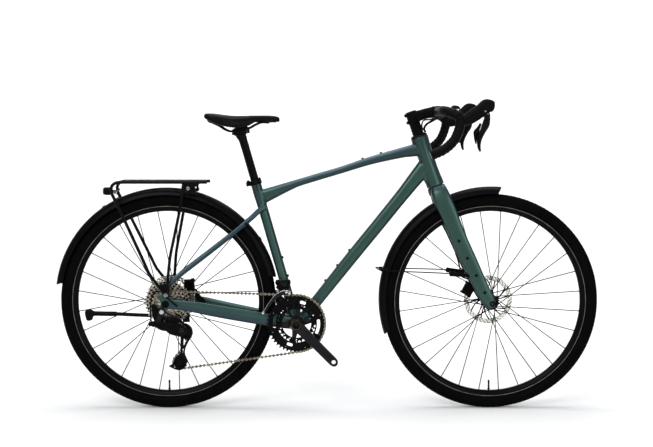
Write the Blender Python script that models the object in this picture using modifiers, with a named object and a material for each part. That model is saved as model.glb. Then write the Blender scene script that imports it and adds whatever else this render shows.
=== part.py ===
"""Gravel bicycle, drive side towards -Y, front towards +X, standing on z = 0.

Lengths at the top are millimetres and are multiplied by MM where a shape is made,
so every object in the scene is in metres.
"""

import math

import bmesh
import bpy
from mathutils import Matrix, Vector

# ---------------------------------------------------------------- dimensions
MM = 0.001
GAP = 0.3                       # clearance between touching pieces

REAR_HUB = (-518.5, 352.0)      # x, z
FRONT_HUB = (532.5, 352.0)
TYRE_R, TYRE_W, TYRE_WALL = 352.0, 42.0, 3.0
RIM_OUT, RIM_IN, RIM_W = 311.5, 295.0, 28.0
SPOKES, SPOKE_R = 28, 1.2
REAR_OLD, FRONT_OLD = 142.0, 100.0
AXLE_R = 6.0
ROTOR_R, ROTOR_T = 80.0, 1.8
FRONT_ROTOR_Y, REAR_ROTOR_Y = 37.5, 55.5

BB = (-98.7, 285.0)
BB_R, BB_HALF = 23.0, 34.0
SPINDLE_R = 12.0
CRANK = 170.0
CRANK_ANGLE = math.radians(-45.0)
PITCH = 12.7
TEETH_OUT, TEETH_IN, TEETH_COG, TEETH_PULLEY = 46, 30, 19, 11
WHEEL_STEPS = 32
CASSETTE = (36, 32, 28, 24, 21, 19, 17, 15, 13, 11)
COG_STEP = 3.95
CHAIN_Y = -48.0
CHAIN_HALF_W, CHAIN_HALF_T = 2.8, 4.25
GUIDE = (-460.3, 254.5)
TENSION = (-476.7, 159.4)
CAGE_PIVOT = (-466.5, 268.2)
HANGER = (-529.5, 328.6)

HEAD_FOOT = (353.5, 729.3)      # steering axis at the crown line
HEAD_DIR = (-0.32557, 0.94552)
HEAD_LEN = 168.0
STEERER_R = 14.3
STEM_LOW, STEM_HIGH = 215.0, 255.0
BAR = (357.9, 968.5)
BAR_CLAMP_R, BAR_TAPE_R, BAR_R = 15.9, 16.2, 11.6

SEAT_TUBE_R, SEAT_BORE_R, POST_R = 16.0, 13.9, 13.6
SEAT_AT = (-178.4, 552.5)       # a point of the seat tube's axis
SEAT_SLOPE = -0.287             # dx / dz of that axis
SEAT_TOP_Z = 746.0


def pitch_radius(teeth):
    return PITCH / (2.0 * math.sin(math.pi / teeth))


def seat_x(z):
    return SEAT_AT[0] + SEAT_SLOPE * (z - SEAT_AT[1])


def head(s, fwd=0.0):
    """x, z of the point s along the steering axis from the crown line, fwd in front of it."""
    return (
        HEAD_FOOT[0] + HEAD_DIR[0] * s + HEAD_DIR[1] * fwd,
        HEAD_FOOT[1] + HEAD_DIR[1] * s - HEAD_DIR[0] * fwd,
    )


# ------------------------------------------------------------------- helpers
for old in list(bpy.data.objects):
    bpy.data.objects.remove(old, do_unlink=True)

PARTS = bpy.data.collections.new("gravel_bike")
CUTTERS = bpy.data.collections.new("cutters")
bpy.context.scene.collection.children.link(PARTS)
bpy.context.scene.collection.children.link(CUTTERS)


def material(name, rgb, roughness, metallic):
    made = bpy.data.materials.new(name)
    made.use_nodes = True
    shader = made.node_tree.nodes["Principled BSDF"]
    shader.inputs["Base Color"].default_value = (*rgb, 1.0)
    shader.inputs["Roughness"].default_value = roughness
    shader.inputs["Metallic"].default_value = metallic
    made.diffuse_color = (*rgb, 1.0)
    return made


def finish(obj, look):
    """look is (r, g, b, roughness, metallic)."""
    obj.data.materials.clear()
    obj.data.materials.append(material(obj.name + "_finish", look[:3], look[3], look[4]))
    return obj


def add(name, data, collection=PARTS):
    obj = bpy.data.objects.new(name, data)
    collection.objects.link(obj)
    return obj


def from_bmesh(name, bm, collection=PARTS):
    bmesh.ops.recalc_face_normals(bm, faces=bm.faces[:])
    mesh = bpy.data.meshes.new(name)
    bm.to_mesh(mesh)
    bm.free()
    mesh.shade_smooth()
    mesh.set_sharp_from_angle(angle=math.radians(35))
    return add(name, mesh, collection)


def as_cutter(obj):
    for holder in list(obj.users_collection):
        holder.objects.unlink(obj)
    CUTTERS.objects.link(obj)
    obj.hide_render = True
    obj.display_type = "WIRE"
    return obj


def rod_bm(bm, a, b, ra, rb=None, sides=16):
    """A capped cylinder or cone from a to b, millimetres."""
    a, b = Vector(a), Vector(b)
    axis = b - a
    turn = axis.to_track_quat("Z", "Y").to_matrix().to_4x4()
    place = Matrix.Translation((a + b) / 2 * MM) @ turn
    bmesh.ops.create_cone(
        bm, cap_ends=True, segments=sides, radius1=ra * MM,
        radius2=(ra if rb is None else rb) * MM, depth=axis.length * MM, matrix=place,
    )


def rod(name, a, b, ra, rb=None, sides=16, collection=PARTS):
    bm = bmesh.new()
    rod_bm(bm, a, b, ra, rb, sides)
    return from_bmesh(name, bm, collection)


def box(name, low, high, bevel=0.0, turn=None, collection=PARTS):
    """A box between two corners, turned by turn = (pivot, axis, degrees) and with its edges bevelled."""
    low, high = Vector(low), Vector(high)
    bm = bmesh.new()
    bmesh.ops.create_cube(bm, size=1.0)
    size, mid = (high - low) * MM, (high + low) / 2 * MM
    bmesh.ops.transform(bm, matrix=Matrix.Translation(mid) @ Matrix.Diagonal((*size, 1.0)), verts=bm.verts[:])
    if bevel:
        bmesh.ops.bevel(bm, geom=bm.edges[:], offset=bevel * MM, segments=1, affect="EDGES")
    if turn:
        pivot, axis, degrees = turn
        pivot = Vector(pivot) * MM
        spin = Matrix.Translation(pivot) @ Matrix.Rotation(math.radians(degrees), 4, axis) @ Matrix.Translation(-pivot)
        bmesh.ops.transform(bm, matrix=spin, verts=bm.verts[:])
    return from_bmesh(name, bm, collection)


def turned(name, profile, centre, steps=40, collection=PARTS):
    """A closed profile of (radius, y) points turned about the Y line through centre = (x, z)."""
    area = sum(
        profile[i][0] * profile[(i + 1) % len(profile)][1] - profile[(i + 1) % len(profile)][0] * profile[i][1]
        for i in range(len(profile))
    )
    points = profile if area > 0 else profile[::-1]
    mesh = bpy.data.meshes.new(name)
    mesh.from_pydata(
        [(r * MM, 0.0, -y * MM) for r, y in points],
        [(i, (i + 1) % len(points)) for i in range(len(points))], [],
    )
    obj = add(name, mesh, collection)
    obj.location = (centre[0] * MM, 0.0, centre[1] * MM)
    obj.rotation_euler = (math.radians(90), 0.0, 0.0)
    screw = obj.modifiers.new("turn", "SCREW")
    screw.angle = math.radians(360)
    screw.steps = screw.render_steps = steps
    screw.use_merge_vertices = True
    screw.merge_threshold = 0.00001
    screw.use_smooth_shade = True
    return obj


def loft_bm(bm, stations, sides=12, power=2.0, start=0.0):
    """A tube through stations (centre, half_width, half_height). The width lies across the
    path and level, the height lies in the path's upright plane."""
    rings = []
    count = len(stations)
    for i, (centre, wide, tall) in enumerate(stations):
        before = Vector(stations[max(i - 1, 0)][0])
        after = Vector(stations[min(i + 1, count - 1)][0])
        along = (after - before).normalized()
        across = Vector((0, 1, 0)) - along * along.y
        if across.length < 0.3:
            across = Vector((1, 0, 0)) - along * along.x
        across.normalize()
        up = along.cross(across)
        ring = []
        for k in range(sides):
            t = start + 2 * math.pi * k / sides
            c, s = math.cos(t), math.sin(t)
            c = math.copysign(abs(c) ** (2.0 / power), c)
            s = math.copysign(abs(s) ** (2.0 / power), s)
            ring.append(bm.verts.new((Vector(centre) + across * (wide * c) + up * (tall * s)) * MM))
        rings.append(ring)
    for low, high in zip(rings, rings[1:]):
        for k in range(sides):
            m = (k + 1) % sides
            bm.faces.new((low[k], low[m], high[m], high[k]))
    bm.faces.new(rings[0][::-1])
    bm.faces.new(rings[-1])


def loft(name, stations, sides=12, power=2.0, start=0.0, collection=PARTS):
    bm = bmesh.new()
    loft_bm(bm, stations, sides, power, start)
    return from_bmesh(name, bm, collection)


def smooth_path(points, per=4):
    """Points of a Catmull-Rom curve through the given ones."""
    pts = [Vector(p) for p in points]
    out = []
    for i in range(len(pts) - 1):
        p0, p1 = pts[max(i - 1, 0)], pts[i]
        p2, p3 = pts[i + 1], pts[min(i + 2, len(pts) - 1)]
        for k in range(per):
            t = k / per
            out.append(0.5 * (2 * p1 + (p2 - p0) * t + (2 * p0 - 5 * p1 + 4 * p2 - p3) * t * t + (3 * p1 - p0 - 3 * p2 + p3) * t ** 3))
    out.append(pts[-1])
    return out


def wire(name, points, radius, resolution=2, per=1, cyclic=False, collection=PARTS):
    """A round bar along the points: a curve object with a bevel and filled caps."""
    path = smooth_path(points, per) if per > 1 else [Vector(p) for p in points]
    data = bpy.data.curves.new(name, "CURVE")
    data.dimensions = "3D"
    data.bevel_depth = radius * MM
    data.bevel_resolution = resolution
    data.use_fill_caps = True
    spline = data.splines.new("POLY")
    spline.points.add(len(path) - 1)
    for point, at in zip(spline.points, path):
        point.co = (*(at * MM), 1.0)
    spline.use_cyclic_u = cyclic
    return add(name, data, collection)


def plate(name, outline, y_low, y_high, holes=(), collection=PARTS):
    """A flat outline of (x, z) points, with holes, between two y planes: a filled 2D curve with an extrusion."""
    data = bpy.data.curves.new(name, "CURVE")
    data.dimensions = "2D"
    data.fill_mode = "BOTH"
    data.extrude = (y_high - y_low) / 2 * MM
    for loop in (outline, *holes):
        spline = data.splines.new("POLY")
        spline.points.add(len(loop) - 1)
        for point, (x, z) in zip(spline.points, loop):
            point.co = (x * MM, z * MM, 0.0, 1.0)
        spline.use_cyclic_u = True
    obj = add(name, data, collection)
    obj.rotation_euler = (math.radians(90), 0.0, 0.0)
    obj.location = (0.0, (y_low + y_high) / 2 * MM, 0.0)
    return obj


def meshed(obj):
    """The curve or modified object as a plain mesh object of the same name, place and collection."""
    bpy.context.view_layer.update()
    graph = bpy.context.evaluated_depsgraph_get()
    mesh = bpy.data.meshes.new_from_object(obj.evaluated_get(graph), depsgraph=graph)
    name, world, holder = obj.name, obj.matrix_world.copy(), obj.users_collection[0]
    bpy.data.objects.remove(obj, do_unlink=True)
    bm = bmesh.new()
    bm.from_mesh(mesh)
    bmesh.ops.remove_doubles(bm, verts=bm.verts[:], dist=0.000002)
    bmesh.ops.recalc_face_normals(bm, faces=bm.faces[:])
    bm.to_mesh(mesh)
    bm.free()
    made = bpy.data.objects.new(name, mesh)
    holder.objects.link(made)
    made.matrix_world = world
    return made


def combine(obj, others, operation, self_cross=False):
    for other in others:
        as_cutter(other)
        cut = obj.modifiers.new(other.name, "BOOLEAN")
        cut.operation = operation
        cut.solver = "EXACT"
        cut.object = other
        cut.use_self = self_cross
    return obj


def join(obj, *others):
    return combine(obj, others, "UNION")


def cut(obj, *others):
    return combine(obj, others, "DIFFERENCE")


def circle(centre, radius, count, start=0.0):
    return [
        (centre[0] + radius * math.cos(start + 2 * math.pi * k / count),
         centre[1] + radius * math.sin(start + 2 * math.pi * k / count))
        for k in range(count)
    ]


# ------------------------------------------------------------------ finishes
FRAME = (0.045, 0.115, 0.10, 0.38, 0.85)
BLACK = (0.018, 0.018, 0.020, 0.45, 0.30)
SATIN = (0.030, 0.030, 0.033, 0.35, 0.60)
RUBBER = (0.022, 0.021, 0.020, 0.85, 0.0)
STEEL = (0.50, 0.49, 0.47, 0.30, 1.0)
NICKEL = (0.36, 0.33, 0.29, 0.34, 1.0)

# -------------------------------------------------------------------- wheels
def tyre(name, hub):
    """A casing open towards the rim, its two beads standing on the rim's edges."""
    mid, half = TYRE_R - TYRE_W / 2, TYRE_W / 2
    bead_r, first, steps = RIM_OUT + GAP + 0.2, math.radians(-50), 6
    outer, inner = [(bead_r, 13.4)], [(bead_r, 10.6)]
    for k in range(steps + 1):
        t = first + (math.pi - 2 * first) * k / steps
        outer.append((mid + half * math.sin(t), half * math.cos(t)))
        inner.append((mid + (half - TYRE_WALL) * math.sin(t), (half - TYRE_WALL) * math.cos(t)))
    outer.append((bead_r, -13.4))
    inner.append((bead_r, -10.6))
    return finish(turned(name, outer + inner[::-1], hub, WHEEL_STEPS), RUBBER)


def rim(name, hub):
    """The ring that carries the tyre, with the valve of the tubeless tyre at the bottom."""
    half = RIM_W / 2
    shape = [(RIM_IN, -7.0), (RIM_IN, 7.0), (RIM_OUT, half), (RIM_OUT - 5.0, 9.0), (RIM_OUT - 5.0, -9.0), (RIM_OUT, -half)]
    ring = turned(name, shape, hub, WHEEL_STEPS)
    stem = rod(name + "_valve", (hub[0], 0, hub[1] - RIM_IN - 3.0), (hub[0], 0, hub[1] - 262.0), 3.0, 2.6, 8)
    return finish(join(ring, stem), SATIN)


def hub_and_spokes(name, hub, old, flange_right, flange_left, shape, flange_r):
    """shape is the hub's turned profile outside its axle bore, as (radius, y) from the drive side."""
    end = old / 2 - GAP
    bore = AXLE_R + GAP
    body = turned(name, [(bore, -end), *shape, (bore, end)], hub, 14)
    bm = bmesh.new()
    for i in range(SPOKES):
        right = i % 2 == 0
        lead = (i // 2) % 2 == 0
        rim_angle = 2 * math.pi * (i + 0.5) / SPOKES
        hub_angle = rim_angle + math.radians(62 if lead else -62)
        flange = flange_right if right else flange_left
        y_hub = flange + (1.7 if lead else -1.7)
        r_hub, r_rim = flange_r - 5.0, RIM_IN * math.cos(math.pi / WHEEL_STEPS) - GAP - 0.2
        a = (hub[0] + r_hub * math.cos(hub_angle), y_hub, hub[1] + r_hub * math.sin(hub_angle))
        b = (hub[0] + r_rim * math.cos(rim_angle), -3.0 if right else 3.0, hub[1] + r_rim * math.sin(rim_angle))
        rod_bm(bm, a, b, SPOKE_R, sides=3)
    spokes = from_bmesh(name + "_spokes", bm)
    return finish(join(body, spokes), SATIN)


def rotor(name, hub, y, bore):
    """A brake rotor: a thin ring, six swept arms and a carrier ring round the hub."""
    t = ROTOR_T / 2
    ring = turned(name, [(64.0, y - t), (64.0, y + t), (ROTOR_R, y + t), (ROTOR_R, y - t)], hub, 24)
    bm = bmesh.new()
    for k in range(6):
        a0 = math.radians(60 * k)
        a1 = a0 + math.radians(32)
        loft_bm(bm, [((hub[0] + r * math.cos(a), y, hub[1] + r * math.sin(a)), t - 0.05, 4.0)
                     for r, a in ((20.0, a0), (66.0, a1))], sides=4, start=math.pi / 4, power=2.0)
    arms = from_bmesh(name + "_arms", bm)
    carrier = turned(name + "_carrier", [(bore, y - 3), (bore, y + 3), (24.0, y + 3), (24.0, y - 3)], hub, 16)
    return finish(join(ring, carrier, arms), STEEL)


tyre("rear_tyre", REAR_HUB)
tyre("front_tyre", FRONT_HUB)
rim("rear_rim", REAR_HUB)
rim("front_rim", FRONT_HUB)
# Rear hub from the drive side: end cap, freehub, right flange, barrel, left flange, rotor seat, end cap.
hub_and_spokes(
    "rear_hub_and_spokes", REAR_HUB, REAR_OLD, -20.0, 33.0,
    [(9.5, -70.7), (9.5, -67.5), (16.4, -67.5), (16.4, -22.8), (30.0, -22.8), (30.0, -17.2), (13.5, -14.0),
     (13.5, 27.0), (29.0, 30.2), (29.0, 35.8), (16.4, 39.0), (16.4, 62.0), (9.5, 64.0), (9.5, 70.7)], 30.0)
hub_and_spokes(
    "front_hub_and_spokes", FRONT_HUB, FRONT_OLD, -33.0, 23.0,
    [(9.5, -49.7), (9.5, -42.0), (15.0, -38.0), (25.0, -35.8), (25.0, -30.2), (12.5, -26.0), (12.5, 16.0),
     (25.0, 20.2), (25.0, 25.8), (16.4, 29.0), (16.4, 42.5), (9.5, 44.0), (9.5, 49.7)], 25.0)
rotor("rear_brake_rotor", REAR_HUB, REAR_ROTOR_Y, 17.0 + GAP)
rotor("front_brake_rotor", FRONT_HUB, FRONT_ROTOR_Y, 17.0 + GAP)

# --------------------------------------------------------------------- frame
def bb_cutter(name, grow=GAP):
    return rod(name, (BB[0], -60, BB[1]), (BB[0], 60, BB[1]), BB_R + grow, sides=28)


def seat_line(z):
    return (seat_x(z), 0.0, z)


def head_rod(name, s0, s1, r0, r1=None, sides=18):
    a, b = head(s0), head(s1)
    return rod(name, (a[0], 0, a[1]), (b[0], 0, b[1]), r0, r1, sides)


# Head tube: a waisted tube, bored for the steerer and its bearings.
rings = [(0.3, 29.0), (18, 28.6), (45, 26.6), (84, 26.0), (125, 26.6), (152, 28.0), (HEAD_LEN, 28.0)]
tube = loft("head_tube", [((head(s)[0], 0, head(s)[1]), r, r) for s, r in rings], sides=14)
cut(tube, head_rod("head_tube_bore", -20, HEAD_LEN + 20, 21.0))
finish(tube, FRAME)


def head_cutter(name):
    return head_rod(name, -40, HEAD_LEN + 60, 29.4, sides=28)


def top_station(x, top, bottom, wide):
    return ((x, 0.0, (top + bottom) / 2), wide, (top - bottom) / 2 * 0.958)


top_tube = loft("top_tube", [
    top_station(-216, 716, 668, 13.5), top_station(-198, 720.5, 675, 14.5), top_station(-176, 727, 687, 15),
    top_station(-152.7, 734, 699, 16), top_station(-120, 743.6, 715, 17), top_station(-87.7, 753.2, 728.8, 18), top_station(42.4, 791.5, 768.2, 19),
    top_station(139.7, 824, 797.4, 19.5), top_station(237, 852.5, 818.8, 21), top_station(270, 862, 822, 21.5), top_station(310, 874, 826, 22),
], sides=10, power=2.6, start=math.pi / 10)
cut(top_tube, head_cutter("top_tube_head_cut"), rod("top_tube_seat_cut", seat_line(600), seat_line(820), SEAT_TUBE_R + GAP, sides=28))
finish(top_tube, FRAME)

# Down tube: 51 degrees, 38 mm deep at the bottom bracket and 43 mm at the head.
down = [((-88.0, 0, 283.0), 22, 19), ((-22.8, 0, 365.4), 21, 19), ((75.3, 0, 489.5), 21, 20.5), ((172.9, 0, 610.1), 21, 21), ((237.7, 0, 690.7), 21.5, 21.5), ((318.0, 0, 790.9), 22, 24)]
down_tube = loft("down_tube", down, sides=10, power=2.6, start=math.pi / 10)
for k, (x, z) in enumerate(((49.0, 456.3), (89.0, 507.0), (128.5, 555.8))):
    # Bosses with flat tops, along the tube's upper face.
    join(down_tube, rod(f"bottle_boss_{k}", (x, 0, z), (x - 22.3 * 0.777, 0, z + 22.3 * 0.629), 5.5, sides=12))
cut(down_tube, head_cutter("down_tube_head_cut"), bb_cutter("down_tube_bb_cut"), rod("down_tube_seat_cut", seat_line(270), seat_line(600), SEAT_TUBE_R + GAP, sides=28))
cut(down_tube, loft("down_tube_under_top_tube", [
    ((220, 0, 833.0), 40, 17.5), ((320, 0, 851.0), 40, 26.5)], sides=4, start=math.pi / 4))
finish(down_tube, FRAME)

# Seat tube: open at both ends, so that the post can slide.
seat_tube = rod("seat_tube", seat_line(BB[1]), seat_line(SEAT_TOP_Z), SEAT_TUBE_R, sides=18)
cut(seat_tube, bb_cutter("seat_tube_bb_cut"), rod("seat_tube_bore", seat_line(BB[1] + 30), seat_line(800), SEAT_BORE_R, sides=18))
finish(seat_tube, FRAME)

collar = rod("seat_clamp", seat_line(SEAT_TOP_Z - 13), seat_line(SEAT_TOP_Z + 1.5), 20.5, sides=18)
join(collar, box("seat_clamp_lug", (seat_x(742) - 30, -8, 733), (seat_x(742) - 17.5, 8, 747), 1.5, ((seat_x(742), 0, 742), "Y", -16)))
cut(collar, rod("seat_clamp_bore", seat_line(700), seat_line(790), SEAT_TUBE_R + GAP, sides=28),
    box("seat_clamp_slit", (seat_x(742) - 40, -0.8, 715), (seat_x(742) - 10, 0.8, 765)))
finish(collar, SATIN)

shell = turned("bottom_bracket_shell", [(21.8, -BB_HALF), (21.8, BB_HALF), (BB_R, BB_HALF), (BB_R, -BB_HALF)], BB, 20)
finish(shell, FRAME)
cup_y = BB_HALF + 8.0
bearings = turned("bottom_bracket_bearings", [
    (SPINDLE_R + GAP, -cup_y), (SPINDLE_R + GAP, cup_y), (22.5, cup_y), (22.5, BB_HALF + GAP), (21.2, BB_HALF + GAP),
    (21.2, -BB_HALF - GAP), (22.5, -BB_HALF - GAP), (22.5, -cup_y)], BB, 20)
finish(bearings, STEEL)


def stay(name, side):
    """A chainstay with its dropout: a deep blade from the bottom bracket, and a plate at the axle."""
    s = side
    blade = loft(name, [
        ((-112, s * 27, 281), 6.5, 19), ((-150, s * 29, 287.5), 6.5, 20), ((-190, s * 33.5, 295), 6.0, 20.5), ((-249.6, s * 42, 305.9), 7.0, 20.5),
        ((-313.6, s * 52, 318.2), 7.5, 20), ((-377.4, s * 62, 331.3), 6.5, 20), ((-409.2, s * 69.0, 338.5), 5.0, 19), ((-440, s * 74.5, 344), 4.0, 17.5),
        ((-475, s * 75.2, 349.5), 3.9, 16), ((-518.5, s * 75.2, 352), 3.9, 15),
    ], sides=8, power=2.8, start=math.pi / 8)
    outline = [(-497, 360), (-500, 375), (-503, 397), (-519, 397), (-524, 388), (-541, 386), (-546, 377), (-541, 369), (-533, 362)]
    if side < 0:
        outline += [(-536, 352), (-537, 341), (-540.5, 330), (-538, 320.5), (-529, 317), (-520.5, 320.5), (-517.5, 330), (-513, 338)]
    else:
        outline += [(-536.5, 352), (-532, 340), (-520, 335), (-505, 337)]
    outline += [(-495, 345)]
    end = meshed(plate(name + "_dropout", outline, *sorted((s * 71.3, s * 79.1))))
    join(blade, end)
    cut(blade, bb_cutter(name + "_bb_cut"),
        rod(name + "_axle_hole", (REAR_HUB[0], s * 60, REAR_HUB[1]), (REAR_HUB[0], s * 90, REAR_HUB[1]), AXLE_R + GAP, sides=20))
    finish(blade, FRAME)
    if side < 0:
        cut(blade, rod("hanger_hole", (HANGER[0], -60, HANGER[1]), (HANGER[0], -90, HANGER[1]), 4.0 + GAP, sides=16))
    seat = loft(name.replace("chain", "seat"), [
        ((-203, s * 13, 661), 5.5, 8.5), ((-222, s * 21, 647.5), 6, 8.5), ((-245, s * 32, 626), 6, 8.5), ((-270, s * 36.5, 605), 6, 8.5),
        ((-320, s * 40, 563.5), 6, 8.5), ((-377.8, s * 46, 518.4), 6.2, 8.5), ((-430, s * 56, 478.5), 6, 8.5), ((-472.9, s * 66.5, 445.7), 5.5, 8.5),
        ((-500, s * 73.5, 422), 4.5, 8.0), ((-510, s * 75.2, 407), 4.0, 7.5), ((-511.5, s * 75.2, 385), 4.0, 7.5)], sides=8)
    cut(seat, rod(name + "_seat_cut", seat_line(560), seat_line(735), SEAT_TUBE_R + GAP, sides=28),
        loft(name + "_top_cut", [((-195, 0, 697), 14.6, 23.5), ((-240, 0, 684), 14.6, 23.5)], sides=12),
        box(name + "_drop_cut", (-560, -95, 340), (-480, 95, 397.4)))
    finish(seat, FRAME)


stay("chainstay_right", -1)
stay("chainstay_left", 1)

rod("rear_thru_axle", (REAR_HUB[0], -79, REAR_HUB[1]), (REAR_HUB[0], 85, REAR_HUB[1]), AXLE_R, sides=20)
finish(bpy.data.objects["rear_thru_axle"], SATIN)

# ----------------------------------------------------------- seatpost, saddle
TOP = (seat_x(886.0), 886.0)
post = rod("seatpost", seat_line(592), (TOP[0], 0, TOP[1]), POST_R, sides=18)
join(post, box("seatpost_yoke", (TOP[0] - 22, -15, TOP[1] - 3), (TOP[0] + 12, 15, 896.7), 3.0))
finish(post, SATIN)
rails = [(-378, -38, 938), (-362, -36, 931), (-344, -31, 922), (-327, -25.5, 911), (-309, -22, 905.9), (-252, -22, 916.5), (-234, -21, 926), (-216, -18, 934), (-204, -13, 935), (-192, -6, 934.2)]
path = rails + [(x, -y, z) for x, y, z in reversed(rails)]
rail = meshed(wire("saddle_rails", path, 3.5, resolution=1, per=1))
finish(rail, STEEL)
clamp = box("saddle_clamp", (-297, -29, 897), (-263, 29, 921.5), 3.0)
cut(clamp, rod("rail_groove_right", (-330, -22, 901.99), (-230, -22, 920.59), 3.9, sides=12),
    rod("rail_groove_left", (-330, 22, 901.99), (-230, 22, 920.59), 3.9, sides=12))
finish(clamp, SATIN)

saddle = loft("saddle", [
    ((-154, 0, 943.5), 10, 5.5), ((-165, 0, 946.0), 17, 8.5), ((-200, 0, 947.2), 21, 8.7), ((-232, 0, 946.3), 28, 9.3), ((-255, 0, 941.2), 36, 13.7), ((-280, 0, 936.8), 48, 17.5),
    ((-305, 0, 937.0), 60, 17.8), ((-330, 0, 940.4), 69, 16.9), ((-350, 0, 944.7), 73.5, 15.4), ((-368, 0, 949.5), 73, 12.5), ((-383, 0, 954.4), 67, 8.9), ((-393, 0, 955.7), 52, 4.5),
], sides=16, power=2.4)
# The hollow under the cover, between its skirts, where the rails end.
cut(saddle, loft("saddle_hollow", [
    ((-238, 0, 911.5), 21, 25), ((-255, 0, 909.8), 28, 25), ((-280, 0, 909.2), 40, 25), ((-305, 0, 909.8), 52, 25), ((-330, 0, 912.2), 61, 25), ((-350, 0, 915.0), 65, 25), ((-377, 0, 918.6), 63, 25)], sides=12, power=4.0, start=math.pi / 12))
finish(saddle, RUBBER)

# ---------------------------------------------------------------- drivetrain
def at(centre, radius, degrees):
    a = math.radians(degrees)
    return (centre[0] + radius * math.cos(a), centre[1] + radius * math.sin(a))


def chain_route():
    """The chain's centre line: wheels it passes, each with the sign of its turning sense."""
    wheels = [(BB, pitch_radius(TEETH_OUT)), (REAR_HUB, pitch_radius(TEETH_COG)),
              (GUIDE, -pitch_radius(TEETH_PULLEY)), (TENSION, pitch_radius(TEETH_PULLEY))]
    leave, arrive = [], []
    for i, (c1, s1) in enumerate(wheels):
        c2, s2 = wheels[(i + 1) % 4]
        d = Vector((c2[0] - c1[0], c2[1] - c1[1]))
        psi = math.atan2(d.y, d.x) + math.acos((s2 - s1) / d.length)
        leave.append(math.atan2(-math.sin(psi) * s1, -math.cos(psi) * s1))
        arrive.append(math.atan2(-math.sin(psi) * s2, -math.cos(psi) * s2))
    out = []
    for i, (centre, signed) in enumerate(wheels):
        a0, a1 = arrive[i - 1], leave[i]
        sweep = (a1 - a0) % (2 * math.pi) if signed > 0 else -((a0 - a1) % (2 * math.pi))
        count = max(3, int(abs(sweep) / min(math.radians(16), 11.0 / abs(signed))))
        for k in range(count + 1):
            a = a0 + sweep * k / count
            out.append((centre[0] + abs(signed) * math.cos(a), centre[1] + abs(signed) * math.sin(a)))
    return out


def offset_loop(points, by):
    out = []
    n = len(points)
    for i in range(n):
        a, b = Vector(points[i - 1]), Vector(points[(i + 1) % n])
        d = (b - a).normalized()
        out.append((points[i][0] + d.y * by, points[i][1] - d.x * by))
    return out


route = chain_route()
chain = plate("chain", offset_loop(route, CHAIN_HALF_T), CHAIN_Y - CHAIN_HALF_W, CHAIN_Y + CHAIN_HALF_W, holes=[offset_loop(route, -CHAIN_HALF_T)])
finish(meshed(chain), NICKEL)

ROOT = 5.0                      # from the pitch circle down to the foot of the teeth, with clearance
steps = []
for k, teeth in enumerate(CASSETTE):
    y = -28.0 - COG_STEP * k
    radius = pitch_radius(teeth) - ROOT
    steps += [(radius, y + (COG_STEP - 0.8 if k else 0.8)), (radius, y - 0.8)]
cassette = turned("cassette", [(17.1, -27.2), *steps, (17.1, -64.35)], REAR_HUB, 18)
finish(cassette, NICKEL)

ring_out = turned("chainring_outer", [(50.0, -49.0), (50.0, -47.0), (pitch_radius(TEETH_OUT) - ROOT, -47.0), (pitch_radius(TEETH_OUT) - ROOT, -49.0)], BB, 40)
ring_in = turned("chainring_inner", [(46.0, -42.0), (46.0, -40.0), (pitch_radius(TEETH_IN) - ROOT + 3, -40.0), (pitch_radius(TEETH_IN) - ROOT + 3, -42.0)], BB, 28)
finish(ring_out, SATIN)
finish(ring_in, SATIN)

pedal = (BB[0] + CRANK * math.cos(CRANK_ANGLE), BB[1] + CRANK * math.sin(CRANK_ANGLE))
other = (2 * BB[0] - pedal[0], 2 * BB[1] - pedal[1])


def crank(name, side, end):
    """An arm with flat outer and inner faces at the pedal end."""
    u = Vector((end[0] - BB[0], 0, end[1] - BB[1])).normalized()
    def point(r, y):
        return (BB[0] + u.x * r, side * y, BB[1] + u.z * r)
    arm = loft(name, [(point(-17, 70), 11, 10), (point(-8, 70), 12.5, 17), (point(6, 70.5), 12.5, 18), (point(40, 72.5), 9.5, 16.2), (point(90, 76), 7.5, 14.8),
                      (point(140, 78.8), 7.0, 14.6), (point(160, 79), 7.0, 14.8), (point(176, 79), 7.0, 13.0), (point(184.5, 79), 7.0, 7.0)],
               sides=12, power=4.0, start=math.pi / 12)
    hole = rod(name + "_pedal_hole", (end[0], side * 60, end[1]), (end[0], side * 100, end[1]), 7.15, sides=20)
    return arm, hole


arm, hole = crank("crank_arm_right", -1, pedal)
spindle = rod("crank_spindle", (BB[0], -60, BB[1]), (BB[0], 84, BB[1]), SPINDLE_R, sides=24)
bm = bmesh.new()
for k in range(4):
    a = -45 + 90 * k
    inner, outer = at(BB, 14, a), at(BB, 60, a)
    loft_bm(bm, [((inner[0], -44.5, inner[1]), 2.0, 11), ((outer[0], -44.5, outer[1]), 2.0, 7)], sides=4, start=math.pi / 4)
spider = from_bmesh("crank_spider", bm)
boss = rod("crank_boss", (BB[0], -65, BB[1]), (BB[0], -42.9, BB[1]), 21.0, 25.0, sides=24)
join(arm, boss, spider, spindle)
cut(arm, hole)
finish(arm, SATIN)
arm, hole = crank("crank_arm_left", 1, other)
cut(arm, hole, rod("left_arm_bore", (BB[0], 40, BB[1]), (BB[0], 100, BB[1]), SPINDLE_R + GAP, sides=24))
finish(arm, SATIN)

for name, centre in (("guide_pulley", GUIDE), ("tension_pulley", TENSION)):
    r = pitch_radius(TEETH_PULLEY) - ROOT
    finish(turned(name, [(2.8 + GAP, CHAIN_Y - 2), (2.8 + GAP, CHAIN_Y + 2), (r, CHAIN_Y + 1.2), (r, CHAIN_Y - 1.2)], centre, 16), RUBBER)

# Two cage plates, tied by the pulleys' bolts.
def cage_outline():
    return [(-452, 272), (-446, 255), (-452, 238), (-462, 205), (-461, 172), (-457, 150), (-466, 141), (-482, 141), (-493, 150), (-492, 168), (-478, 186), (-476, 215), (-476, 240), (-480, 256), (-481, 270), (-474, 281), (-461, 282)]


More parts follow.
